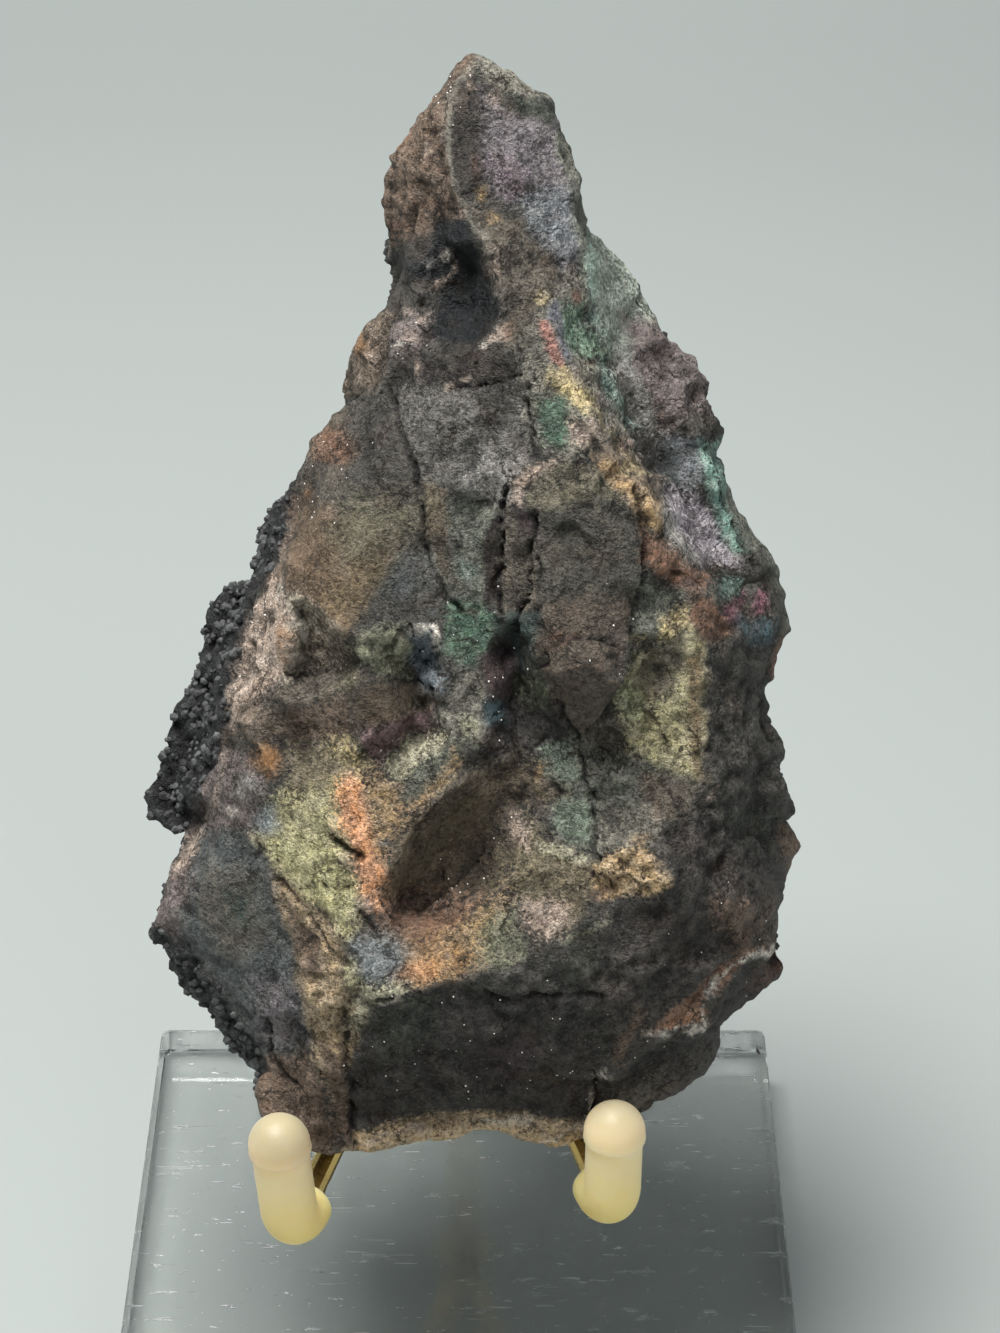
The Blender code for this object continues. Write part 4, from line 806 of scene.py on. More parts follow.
def smooth_rise(value, low, high):
    share = np.clip((value - low) / (high - low), 0.0, 1.0)
    return share * share * (3.0 - 2.0 * share)


def sight_chart(points):
    """Columns and rows where the eye sees the points, and their height over the face's plane in mm."""
    forward = np.array((0.0, math.cos(SIGHT_PITCH), -math.sin(SIGHT_PITCH)))
    down = np.array((0.0, -math.sin(SIGHT_PITCH), -math.cos(SIGHT_PITCH)))
    away = points - np.array(EYE)
    reach = away @ forward
    columns = SIGHT_COLUMN + SIGHT_FOCAL * away[:, 0] / reach
    rows = SIGHT_ROW + SIGHT_FOCAL * (away @ down) / reach
    relief = (points - np.array(FACE_FOOT)) @ np.array(FACE_OUT) / MM
    return columns, rows, relief


def fractal(points, size_mm, octaves=4, shift=0.0):
    """Smooth noise of about -1 to 1 at each point, with features of the given size."""
    offset = Vector((shift, 2.0 * shift, -shift))
    scaled = points / (size_mm * MM)
    return np.array([noise.fractal(Vector(p) + offset, 0.9, 2.1, octaves) for p in scaled])


def cells(points, size_mm, shift=0.0):
    """Distance to the nearest of scattered centres, and the gap to the second, in units of the size."""
    offset = Vector((shift, -shift, shift))
    scaled = points / (size_mm * MM)
    found = [noise.voronoi(Vector(p) + offset, distance_metric="DISTANCE")[0][:2] for p in scaled]
    found = np.array(found)
    return found[:, 0], found[:, 1] - found[:, 0]


def facets(points, size_mm, shift=0.0, crispness=7.0):
    """Heights of small tilted faces that break off against each other, about -0.5 to 0.5."""
    offset = np.array((shift, -shift, 0.5 * shift))
    scaled = points / (size_mm * MM) + offset
    found = [noise.voronoi(Vector(p), distance_metric="DISTANCE") for p in scaled]
    away = np.array([near[0] for near in found])
    centres = np.array([[tuple(c) for c in near[1]] for near in found])
    phase = centres @ np.array(HASH_ROWS)
    tilt = np.modf(np.abs(np.sin(phase) * HASH_SCALE))[0] - 0.5
    heights = ((scaled[:, None, :] - centres) * tilt).sum(axis=2) * 1.5 + tilt[:, :, 0] * 0.45
    weights = np.exp(-crispness * (away - away[:, :1]))
    return (heights * weights).sum(axis=1) / weights.sum(axis=1)


def patch_cover(columns, rows, patch, inner=0.45, outer=1.2):
    """How much of a patch lies on each point: 1 in its middle, 0 outside it."""
    column, row, half_width, half_height, turn, strength = patch
    angle = math.radians(turn)
    dx, dy = columns - column, rows - row
    along = (dx * math.cos(angle) + dy * math.sin(angle)) / half_width
    across = (-dx * math.sin(angle) + dy * math.cos(angle)) / half_height
    return strength * (1.0 - smooth_rise(np.hypot(along, across), inner, outer))


def places_cover(columns, rows, places):
    cover = np.zeros(len(columns))
    for place in places:
        cover = np.maximum(cover, patch_cover(columns, rows, place))
    return cover


def line_distance(columns, rows, line):
    """Distance in columns from each point to a broken line."""
    nearest = np.full(len(columns), 1e9)
    for (x0, y0), (x1, y1) in zip(line, line[1:]):
        dx, dy = x1 - x0, y1 - y0
        share = ((columns - x0) * dx + (rows - y0) * dy) / (dx * dx + dy * dy)
        share = np.clip(share, 0.0, 1.0)
        nearest = np.minimum(nearest, np.hypot(columns - x0 - share * dx, rows - y0 - share * dy))
    return nearest


def set_attribute(mesh, name, values):
    attribute = mesh.attributes.new(name, "FLOAT", "POINT")
    attribute.data.foreach_set("value", values.astype(np.float32))


def set_colour(mesh, name, colours):
    attribute = mesh.attributes.new(name, "FLOAT_COLOR", "POINT")
    full = np.concatenate([colours, np.ones((len(colours), 1))], axis=1)
    attribute.data.foreach_set("color", full.astype(np.float32).ravel())


def read_vectors(items, name):
    vectors = np.empty(len(items) * 3, np.float32)
    items.foreach_get(name, vectors)
    return vectors.reshape(-1, 3).astype(float)


def mesh_normals(mesh):
    return read_vectors(mesh.vertex_normals, "vector")


def flatten(obj):
    """Turns an object's modifiers into plain mesh."""
    graph = bpy.context.evaluated_depsgraph_get()
    mesh = bpy.data.meshes.new_from_object(obj.evaluated_get(graph))
    obj.modifiers.clear()
    obj.data = mesh
    return mesh


def link_object(name, mesh):
    obj = bpy.data.objects.new(name, mesh)
    bpy.context.scene.collection.objects.link(obj)
    return obj


def fine_copy(node, name, levels, sharp_angle, crease):
    """A merged copy of a solid, subdivided smooth, with its sharper edges held by creases."""
    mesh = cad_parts[node].data.copy()
    mesh.name = name
    shape = bmesh.new()
    shape.from_mesh(mesh)
    bmesh.ops.remove_doubles(shape, verts=shape.verts, dist=1e-6)
    layer = shape.edges.layers.float.get("crease_edge") or shape.edges.layers.float.new("crease_edge")
    for edge in shape.edges:
        edge.smooth = True
        if edge.calc_face_angle(0.0) > sharp_angle:
            edge[layer] = crease
    shape.to_mesh(mesh)
    shape.free()
    for attribute in list(mesh.attributes):
        if attribute.name in ("custom_normal", "sharp_face", "sharp_edge"):
            mesh.attributes.remove(attribute)
    obj = link_object(name, mesh)
    modifier = obj.modifiers.new("finer", "SUBSURF")
    modifier.levels = levels
    modifier.render_levels = levels
    flatten(obj)
    return obj


def proud_of_neighbours(mesh, points, normals, rounds):
    """How far each point stands proud of the smoothed surface around it, in mm."""
    ends = np.empty(len(mesh.edges) * 2, np.int32)
    mesh.edges.foreach_get("vertices", ends)
    a, b = ends[::2], ends[1::2]
    count = np.bincount(ends, minlength=len(points))[:, None]
    level = points.copy()
    for _ in range(rounds):
        sums = [
            np.bincount(a, level[b, k], len(points)) + np.bincount(b, level[a, k], len(points))
            for k in range(3)
        ]
        level = 0.5 * level + 0.5 * np.stack(sums, axis=1) / count
    return ((points - level) * normals).sum(axis=1) / MM


def shape_stone(mesh, settings):
    """Presses grain, chips, cracks and crust into the fine mesh. Returns what the colours need, with painted
    light and shade.
    """
    points, normals = read_vectors(mesh.vertices, "co"), mesh_normals(mesh)
    columns, rows, relief = sight_chart(points)
    sway, drift = (WANDER * fractal(points, WANDER_SIZE, 3, shift=shift) for shift in (4.0, 9.0))
    crust = 1.0 - smooth_rise(relief + 0.8 * fractal(points, 2.0, 2), *CRUST_RELIEF)
    for corners in CRUST_FIELDS:
        crust = np.maximum(crust, field_cover(columns + 0.7 * sway, rows + 0.7 * drift, corners, 3.0, 0.0))
    smooth = places_cover(columns + sway, rows + drift, SMOOTH_PLACES) * (1.0 - crust)
    coarse = places_cover(columns + sway, rows + drift, COARSE_PLACES) * (1.0 - crust)

    broad = fractal(points, 5.5, 4, shift=1.0)
    fine = fractal(points, 1.6, 4, shift=2.0)
    knobs, valley = cells(points, KNOB_SIZE, shift=5.0)
    big_knobs, _ = cells(points, BIG_KNOB_SIZE, shift=6.0)

    plain = 1.0 - smooth
    push = 0.20 * broad * (0.35 + 0.65 * plain)
    for size, height, shift, crispness, rest, level, extra in FACET_LAYERS:
        layer = facets(points, size, shift, crispness) * (rest + (1.0 - rest) * plain)
        push += height * layer * (level + extra * coarse)
    push += 0.12 * fine * (0.12 + 0.88 * plain) * (0.8 + 0.9 * coarse)
    lumps = 0.75 * np.sqrt(np.clip(1.0 - knobs ** 2 * 1.4, 0.0, 1.0)) - 0.45
    big_lumps = 0.95 * np.sqrt(np.clip(1.0 - big_knobs ** 2 * 1.3, 0.0, 1.0)) - 0.6
    push = push * (1.0 - crust) + crust * (lumps + big_lumps + 0.3 * fine)
    push *= settings.relief

    for place in FILLED_PLACES:
        push += patch_cover(columns, rows, place, 0.2, 1.3)
    groove = np.zeros(len(points))
    wobble = 3.2 * fractal(points, 1.8, 4, shift=7.0)
    worn = 0.35 + 0.65 * smooth_rise(fractal(points, 1.5, 2, shift=8.0), -0.35, 0.2)
    for half_width, depth, line in CRACKS:
        away = line_distance(columns + wobble + 0.35 * sway, rows + 0.35 * drift, line)
        groove = np.maximum(groove, depth * (1.0 - smooth_rise(away, 0.35 * half_width, 1.9 * half_width)))
    groove *= worn * (1.0 - crust)
    push -= groove * settings.crack_depth

    moved = points + normals * (push * MM)[:, None]
    mesh.vertices.foreach_set("co", moved.astype(np.float32).ravel())
    mesh.update()
    # Painted light and shade: points proud of the smoothed surface are lightened and sunken ones darkened, as
    # light falls on ridges and shade in dips
    edges, broad_relief_shading = (
        proud_of_neighbours(mesh, moved, mesh_normals(mesh), rounds) / full_height
        for rounds, full_height in (FINE_RELIEF_SHADING, BROAD_RELIEF_SHADING)
    )
    # Painted shade: cracks and the hollows between the crust's knobs are darkened, as the shade that falls in
    # them
    hollow = np.clip(0.55 * groove + 0.5 * crust * smooth_rise(valley, 0.35, 0.0), 0.0, 1.0)
    return {
        "points": points, "columns": columns, "rows": rows, "crust": crust, "smooth": smooth,
        "coarse": coarse, "hollow": hollow, "fine": fine, "knobs": knobs,
        "wander_a": fractal(points, 3.6, 5, shift=11.0), "wander_b": fractal(points, 3.6, 5, shift=15.0),
        "edges": np.clip(0.6 * edges + 0.4 * broad_relief_shading, -1.0, 1.0),
    }


def field_cover(columns, rows, corners, softness, shift):
    """How much of a field with straight sides lies on each point, from 1 well inside to 0 outside."""
    inside = np.zeros(len(columns), bool)
    for (x0, y0), (x1, y1) in zip(corners, corners[1:] + corners[:1]):
        if y0 != y1:
            crossed = (y0 > rows) != (y1 > rows)
            inside ^= crossed & (columns < x0 + (rows - y0) * (x1 - x0) / (y1 - y0))
    away = line_distance(columns, rows, corners + corners[:1])
    return smooth_rise(np.where(inside, away, -away) + shift * softness, -softness, softness)


def lay(colours, near, shade, cover):
    colours[near] += (linear(shade) - colours[near]) * cover[:, None]


def laid_colours(facts, spread):
    """Colours of fields, spots and streaks, with wandering edges. A larger spread makes them all wider."""
    points = facts["points"]
    columns = facts["columns"] + COLOUR_WANDER * facts["wander_a"]
    rows = facts["rows"] + COLOUR_WANDER * facts["wander_b"]
    colours = np.tile(linear("dark grey"), (len(points), 1))
    for fields in FIELDS.values():
        for shade, softness, *corners in fields:
            low, high = np.min(corners, axis=0) - 3 * softness, np.max(corners, axis=0) + 3 * softness
            inside = (columns > low[0]) & (columns < high[0]) & (rows > low[1]) & (rows < high[1])
            near = np.nonzero(inside)[0]
            lay(colours, near, shade, field_cover(columns[near], rows[near], corners, softness, spread))
    for shade, *spot in SPOTS:
        reach = 1.6 * max(spot[2], spot[3])
        near = np.nonzero((np.abs(columns - spot[0]) < reach) & (np.abs(rows - spot[1]) < reach))[0]
        cover = patch_cover(columns[near], rows[near], spot, 0.4 + 0.2 * spread, 1.1 + 0.3 * spread)
        lay(colours, near, shade, cover)
    everywhere = np.arange(len(points))
    for shade, half_width, strength, line in STREAKS:
        away = line_distance(columns, rows, line) + 1.5 * facts["fine"]
        cover = strength * (1.0 - smooth_rise(away, 0.5 * half_width, (1.7 + 0.5 * spread) * half_width))
        lay(colours, everywhere, shade, cover)
    crust = facts["crust"][:, None]
    # Painted highlight: the tips of the crust's knobs are lighter, where the light catches them
    tip_highlight = smooth_rise(facts["knobs"], 0.5, 0.1)[:, None]
    crust_colour = linear("crust") + (linear("crust tip highlight") - linear("crust")) * (0.55 * tip_highlight)
    return colours * (1.0 - crust) + crust_colour * crust


def colour_stone(mesh, facts, settings):
    """Stores two sets of colours, with narrow and with wide patches, for the grain to choose from."""
    for name, spread in (("tint_narrow", -0.5), ("tint_wide", 0.5)):
        colours = laid_colours(facts, spread)
        grey = colours.mean(axis=1, keepdims=True)
        colours = np.clip(grey + (colours - grey) * settings.colour_strength, 0.0, 1.0)
        set_colour(mesh, name, colours * settings.brightness)
    set_attribute(mesh, "smoothness", facts["smooth"])
    set_attribute(mesh, "coarseness", facts["coarse"])
    # hollow carries the painted shade of cracks and crust hollows
    set_attribute(mesh, "hollow", facts["hollow"])
    set_attribute(mesh, "crust", facts["crust"])
    # edges carries the painted light on proud places and the painted shade in dips
    set_attribute(mesh, "edges", facts["edges"])
    glint = places_cover(facts["columns"], facts["rows"], GLINT_PLACES) * (1.0 - facts["crust"])
    set_attribute(mesh, "glint", glint)


def chip_layer(board, place, scale):
    """Tiny tilted faces of broken stone: their height, and a random value for each."""
    sockets = {"Vector": place, "Scale": scale}
    centre = board.add("ShaderNodeTexVoronoi", {"feature": "F1"}, sockets, "Position")
    chance = Signal(board, centre.socket.node.outputs["Color"])
    reach = board.vector("SUBTRACT", place, centre)
    tilt = board.vector("SUBTRACT", chance, HALF)
    slope = board.add("ShaderNodeVectorMath", {"operation": "DOT_PRODUCT"}, [reach, tilt], "Value")
    pick = board.add("ShaderNodeSeparateColor", None, [chance], "Green")
    return slope * scale + pick * 0.4, pick


def hairlines(board, place, scale, width, here):
    """Thin cracks along the borders of uneven cells, broken off here and there. 1 on a crack, 0 beside it."""
    sockets = {"Vector": place, "Scale": scale}
    away = board.add("ShaderNodeTexVoronoi", {"feature": "DISTANCE_TO_EDGE"}, sockets, "Distance")
    return away.rise(width, 0.3 * width) * here


def stone_material():
    """Broken stone: the laid colours, broken up by chips, grain and flecks, with painted shade in pits and
    cracks and painted light on proud places.
    """
    material, shader, board, flat_place = new_material("limonite")
    smoothness = board.attribute("smoothness")
    coarseness = board.attribute("coarseness")
    hollow = board.attribute("hollow")
    crust = board.attribute("crust")
    plain = 1.0 - smoothness * 0.5

    place = board.warped(flat_place, 1400.0, 0.6, 0.0007)
    chip, chip_pick = chip_layer(board, place, CHIP_SCALE)
    bit, bit_pick = chip_layer(board, place, BIT_SCALE)

    cloud = board.noise(flat_place, CLOUD_SCALE, 3.0, 0.6)
    mottle = board.noise(place, MOTTLE_SCALE, 3.0, 0.65)
    grain = board.noise(flat_place, GRAIN_SCALE, 3.0, 0.75)
    sand = board.noise(flat_place, SAND_SCALE, 2.0, 0.7)

    bent = board.warped(flat_place, 420.0, 0.65, 0.0060)
    lines = hairlines(board, bent, HAIRLINE_SCALE, 0.036, cloud.rise(0.48, 0.58))
    lines = lines + hairlines(board, bent, FINE_HAIRLINE_SCALE, 0.060, mottle.rise(0.54, 0.62)) * 0.35
    lines = lines.math("MINIMUM", lines, 1.0) * (0.25 + 0.75 * plain) * (1.0 - crust)

    choice = (grain * 0.6 + bit_pick * 0.2 + mottle * 0.2).rise(0.36, 0.64)
    choice = 0.5 + (choice - 0.5) * (0.2 + 0.8 * plain)
    tint = board.mix(choice, board.attribute("tint_narrow", "Color"), board.attribute("tint_wide", "Color"))
    plain_light = board.add("ShaderNodeRGBToBW", None, [tint])
    dull = board.scaled((0.94, 0.84, 0.74), plain_light)
    stain = (mottle * 0.5 + chip_pick * 0.2 + grain * 0.3).rise(0.44, 0.58)
    tint = board.mix(stain * 0.3 * plain, tint, dull)
    bits = (bit_pick - 0.5) * 0.7 + (chip_pick - 0.5) * 0.5
    grains = (grain - 0.5) * 3.0 + (sand - 0.5) * 2.8
    level = 1.04 + (bits + grains) * (0.4 + 0.6 * plain) + (cloud - 0.5) * 0.5
    level = level + (mottle - 0.5) * 1.1 * (0.5 + 0.5 * plain)
    # Painted light on proud places and painted shade in dips, from the edges attribute
    level = level + board.attribute("edges") * 0.7 * (0.4 + 0.6 * plain)
    # Painted shade from the hollow attribute darkens cracks and crust hollows
    level = level.math("MAXIMUM", level, 0.42) * (1.0 - hollow * 0.85) * (1.0 - lines * 0.8)
    lit = board.scaled(tint, level)
    warm_share = cloud.rise(0.5, 0.75) * 0.18 * (1.0 - crust)
    warm = board.mix(warm_share, lit, STAIN_COLOUR)
    fleck_share = (bit_pick * 0.5 + grain * 0.5).rise(0.68, 0.76)
    fleck_share = fleck_share * plain * (0.05 + 0.6 * coarseness) * (1.0 - crust)
    pale = board.vector("MULTIPLY_ADD", tint, (1.5, 1.45, 1.4), (0.05, 0.045, 0.04))
    flecked = board.mix(fleck_share, warm, pale)
    # Painted shade: the low, pitted spots of the grain are painted near black, as the shade inside the pits
    pit_shade_share = (bit_pick * 0.35 + grain * 0.65).rise(0.36, 0.27) * plain * 0.5
    wire(board, shader, "Base Color", board.mix(pit_shade_share, flecked, PIT_SHADE_COLOUR))

    rough = 0.66 - smoothness * 0.12 + (grain - 0.5) * 0.4 - crust * 0.1
    wire(board, shader, "Roughness", rough)
    height = (chip * 1.1 + bit * 0.6 + grain * 0.8 + mottle * 0.8) * plain + sand * 0.2 + cloud * 0.3
    wire(board, shader, "Normal", board.bump(1.0, 0.0009, height))
    shader.inputs["Specular IOR Level"].default_value = 0.35
    return material


def quartz_material():
    """Tiny glassy grains."""
    material, shader, board, place = new_material("quartz")
    shade = board.noise(place, 900.0, 2.0, 0.5)
    wire(board, shader, "Base Color", board.mix(shade, (0.75, 0.68, 0.58), (0.95, 0.94, 0.92)))
    wire(board, shader, "Roughness", 0.1 + shade * 0.2)
    shader.inputs["Specular IOR Level"].default_value = 0.7
    return material


def crust_material():
    """Black cindery granules with a faint sheen."""
    material, shader, board, place = new_material("cinder_crust")
    cloud = board.noise(place, 500.0, 4.0, 0.6)
    sand = board.noise(place, 2600.0, 4.0, 0.7)
    dark = tuple(linear((34, 33, 34)))
    light = tuple(linear((104, 107, 106)))
    colour = board.mix(cloud.rise(0.35, 0.75) * 0.7 + (sand - 0.5) * 0.6, dark, light)
    wire(board, shader, "Base Color", colour)
    wire(board, shader, "Roughness", 0.5 + sand * 0.3)
    wire(board, shader, "Normal", board.bump(0.6, 0.0002, sand))
    return material


def group_socket(tree, name, kind, default, low=None):
    socket = tree.interface.new_socket(name, in_out="INPUT", socket_type=kind)
    if default is not None:
        socket.default_value = default
    if low is not None:
        socket.min_value = low
    return socket


def named_value(board, name):
    """A number that the geometry carries under a name."""
    settings = {"data_type": "FLOAT"}
    return board.add("GeometryNodeInputNamedAttribute", settings, {"Name": name}, "Attribute")


def close_tree(board, shape, finish):
    """Ends a geometry tree in plain mesh with its material."""
    real = board.add("GeometryNodeRealizeInstances", None, {"Geometry": shape}, "Geometry")
    dressed = board.add("GeometryNodeSetMaterial", None, {"Geometry": real, "Material": finish}, "Geometry")
    board.add("NodeGroupOutput", None, [dressed])


def sprinkle_tree(name):
    """Geometry nodes that sprinkle small grains over a surface, as dense as a named attribute says."""
    tree = bpy.data.node_groups.new(name, "GeometryNodeTree")
    group_socket(tree, "Surface", "NodeSocketGeometry", None)
    group_socket(tree, "Density", "NodeSocketFloat", 1000.0, 0.0)
    group_socket(tree, "Largest", "NodeSocketFloat", 0.0005, 0.0)
    group_socket(tree, "Smallest", "NodeSocketFloat", 0.0002, 0.0)
    group_socket(tree, "Where", "NodeSocketString", "glint")
    group_socket(tree, "Seed", "NodeSocketInt", 3)
    group_socket(tree, "Finish", "NodeSocketMaterial", None)
    tree.interface.new_socket("Grains", in_out="OUTPUT", socket_type="NodeSocketGeometry")
    board = Board(tree)
    given = tree.nodes.new("NodeGroupInput").outputs

    def taken(name):
        return Signal(board, given[name])

    seed = taken("Seed")
    share = named_value(board, taken("Where"))
    settings = {"distribute_method": "RANDOM"}
    sockets = {"Mesh": taken("Surface"), "Density": share * taken("Density"), "Seed": seed}
    points = board.add("GeometryNodeDistributePointsOnFaces", settings, sockets, "Points")
    grain = board.add("GeometryNodeMeshIcoSphere", None, {"Radius": 1.0, "Subdivisions": 1}, "Mesh")
    sizes = {2: taken("Smallest"), 3: taken("Largest"), "Seed": seed}
    size = board.add("FunctionNodeRandomValue", {"data_type": "FLOAT"}, sizes, 1)
    turn, stretch = (
        board.add("FunctionNodeRandomValue", {"data_type": "FLOAT_VECTOR"}, {0: low, 1: high, "Seed": seed})
        for low, high in (GRAIN_TURNS, GRAIN_STRETCHES)
    )
    scale = board.scaled(stretch, size)
    sockets = {"Points": points, "Instance": grain, "Rotation": turn, "Scale": scale}
    placed = board.add("GeometryNodeInstanceOnPoints", None, sockets, "Instances")
    close_tree(board, placed, taken("Finish"))
    return tree


def tube_tree():
    """Geometry nodes that skin a line with a round tube, as thick as the line's own radius attribute."""
    tree = bpy.data.node_groups.new("soft_tube", "GeometryNodeTree")
    group_socket(tree, "Line", "NodeSocketGeometry", None)
    group_socket(tree, "Sides", "NodeSocketInt", TUBE_SIDES)
    group_socket(tree, "Finish", "NodeSocketMaterial", None)
    tree.interface.new_socket("Tube", in_out="OUTPUT", socket_type="NodeSocketGeometry")
    board = Board(tree)
    given = tree.nodes.new("NodeGroupInput").outputs
    line, sides, finish = (Signal(board, given[name]) for name in ("Line", "Sides", "Finish"))
    curve = board.add("GeometryNodeMeshToCurve", None, {"Mesh": line}, "Curve")
    thickness = named_value(board, "thickness")
    sockets = {"Resolution": sides, "Radius": 1.0}
    ring = board.add("GeometryNodeCurvePrimitiveCircle", {"mode": "RADIUS"}, sockets, "Curve")
    sockets = {"Curve": curve, "Profile Curve": ring, "Scale": thickness, "Fill Caps": True}
    scaled = board.add("GeometryNodeCurveToMesh", None, sockets, "Mesh")
    sockets = {"Geometry": scaled, "Shade Smooth": True}
    smooth = board.add("GeometryNodeSetShadeSmooth", None, sockets, "Geometry")
    close_tree(board, smooth, finish)
    return tree


def grow(obj, tree, values):
    """Runs a geometry tree on an object with named inputs, and keeps the result as plain mesh."""
    modifier = obj.modifiers.new(tree.name, "NODES")
    modifier.node_group = tree
    keys = {item.name: item.identifier for item in tree.interface.items_tree if item.item_type == "SOCKET"}
    for name, value in values.items():
        modifier[keys[name]] = value
    flatten(obj)
    return obj


def finish_piece(obj, slot, *nodes):
    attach(obj, "root")
    if nodes:
        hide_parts(*nodes)


def grow_grains(name, where, largest, finish, density, smallest_share, seed):
    """Sprinkles grains over the dressed stone as a piece of their own."""
    grains = link_object(name, bpy.data.objects["stone_dressed"].data.copy())
    values = {
        "Density": density, "Largest": largest, "Smallest": smallest_share * largest, "Where": where,
        "Seed": seed, "Finish": finish,
    }
    grow(grains, sprinkle_tree(name + "_tree"), values)
    grains.data.shade_flat()
    finish_piece(grains, "limonite")


def paint(node, material):
    """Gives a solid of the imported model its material."""
    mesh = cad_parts[node].data
    mesh.materials.clear()
    mesh.materials.append(material)


class SPECIMEN_OT_stone(bpy.types.Operator):
    """Shapes and colours the stone"""

    bl_idname = "specimen.stone"
    bl_label = "Dress the stone"

    def execute(self, context):
        settings = context.scene.specimen_stone
        stone = fine_copy("limonite", "stone_dressed", FINE_LEVELS, SHARP_ANGLE, CREASE_HOLD)
        facts = shape_stone(stone.data, settings)
        colour_stone(stone.data, facts, settings)
        stone.data.materials.clear()
        stone.data.materials.append(stone_material())
        stone.data.shade_smooth()
        finish_piece(stone, "limonite", "limonite")
        return {"FINISHED"}


class SPECIMEN_OT_crust(bpy.types.Operator):
    """Grows the black granules of the crust"""

    bl_idname = "specimen.crust"
    bl_label = "Grow the crust's granules"

    def execute(self, context):
        largest = context.scene.specimen_stone.granule_size
        grow_grains("crust_granules", "crust", largest, crust_material(), *GRANULES)
        return {"FINISHED"}


class SPECIMEN_OT_glints(bpy.types.Operator):
    """Sets tiny quartz grains in the stone's hollows"""

    bl_idname = "specimen.glints"
    bl_label = "Set the quartz grains"

    def execute(self, context):
        largest = context.scene.specimen_stone.glint_size
        grow_grains("quartz_grains", "glint", largest, quartz_material(), *GLINTS)
        return {"FINISHED"}


def acrylic_material(settings):
    """Clear acrylic with a handled, scratched face."""
    material, shader, board, place = new_material("clear_acrylic")
    smudge = board.noise(place, 90.0, 4.0, 0.6)
    dust = board.noise(place, 1400.0, 3.0, 0.7)
    shader.inputs["Base Color"].default_value = (*settings.acrylic_colour, 1.0)
    shader.inputs["Transmission Weight"].default_value = 1.0
    shader.inputs["IOR"].default_value = 1.49
    marks = scratches(board, place) * board.noise(place, 150.0, 3.0, 0.6).rise(0.48, 0.62)
    sockets = {"Vector": place, "Scale": (210.0, 760.0, 700.0)}
    wide = board.add("ShaderNodeMapping", {"vector_type": "POINT"}, sockets, "Vector")
    frost = board.noise(wide, 1.0, 4.0, 0.65).rise(0.62, 0.70) + dust.rise(0.66, 0.76) * 0.6
    wire(board, shader, "Roughness", 0.03 + smudge.rise(0.4, 0.8) * 0.12 + marks * 0.5 + frost * 0.5)
    wire(board, shader, "Normal", board.bump(0.5, 0.0001, 1.0 - marks - frost * (0.3 + dust)))
    return material


def scratches(board, place):
    """Fine straight scratches in a few directions, from 0 to 1."""
    total = None
    for turn, stretch, low in SCRATCH_LANES:
        sockets = {"Vector": place, "Rotation": (0.0, 0.0, turn), "Scale": (stretch, SCRATCH_SCALE, stretch)}
        lane = board.add("ShaderNodeMapping", {"vector_type": "POINT"}, sockets, "Vector")
        line = board.noise(lane, 1.0, 2.0, 0.5).rise(low, low + 0.06)
        total = line if total is None else total + line
    return total


def brass_material(settings):
    """Polished brass with a slightly uneven, handled sheen."""
    material, shader, board, place = new_material("polished_brass")
    cloud = board.noise(place, 320.0, 4.0, 0.6)
    fine = board.noise(place, 3000.0, 3.0, 0.6)
    bright = tuple(settings.brass_colour)
    dull = tuple(0.72 * c for c in bright)
    wire(board, shader, "Base Color", board.mix(cloud.rise(0.4, 0.7) * 0.7, bright, dull))
    shader.inputs["Metallic"].default_value = 1.0
    wire(board, shader, "Roughness", 0.16 + cloud * 0.14 + fine * 0.08)
    wire(board, shader, "Normal", board.bump(0.15, 0.00005, fine))
    return material


def silicone_material(settings):
    """Milky silicone that lets light through, satin outside, with a painted brass glow at the foot and
    painted shade on the tips.
    """
    material, shader, board, place = new_material("milky_silicone")
    cloud = board.noise(place, 420.0, 4.0, 0.6)
    pores = board.noise(place, 2600.0, 3.0, 0.6)
    height = board.add("ShaderNodeSeparateXYZ", None, [place], "Z")
    deep = tuple(settings.silicone_colour)
    pale = tuple(0.29 + 0.67 * c for c in deep)
    # Painted glow: the deeper yellow towards the foot stands in for the brass showing through the silicone
    brass_glow = height.rise(*BRASS_GLOW_HEIGHTS) + (cloud - 0.5) * 0.5
    body = board.mix(brass_glow, pale, deep)
    # Painted shade on the rounded tips, against the overhead light
    share = height.rise(*CROWN_SHADE_HEIGHTS) * height.rise(*CROWN_SHADE_END)
    wire(board, shader, "Base Color", board.mix(share, body, CROWN_SHADE_COLOUR))
    wire(board, shader, "Roughness", 0.36 + pores * 0.2)
    shader.inputs["IOR"].default_value = 1.41
    shader.inputs["Subsurface Weight"].default_value = 1.0
    shader.inputs["Subsurface Radius"].default_value = (1.0, 0.85, 0.5)
    shader.inputs["Subsurface Scale"].default_value = 0.005
    wire(board, shader, "Normal", board.bump(0.3, 0.0001, pores))
    return material


def polyline_object(name, stations):
    """A line of edges whose points carry the tube's thickness."""
    mesh = bpy.data.meshes.new(name)
    points = [tuple(p) for p, thickness in stations]
    mesh.from_pydata(points, [(i, i + 1) for i in range(len(points) - 1)], [])
    set_attribute(mesh, "thickness", np.array([thickness for p, thickness in stations]))
    return link_object(name, mesh)


def dome_stations(centre, direction, radius, steps):
    """Stations that round off a tube's end beyond its centre."""
    stations = []
    for k in range(steps + 1):
        angle = math.pi / 2 * min(k / steps, DOME_END)
        stations.append((centre + direction * (radius * math.sin(angle)), radius * math.cos(angle)))
    return stations


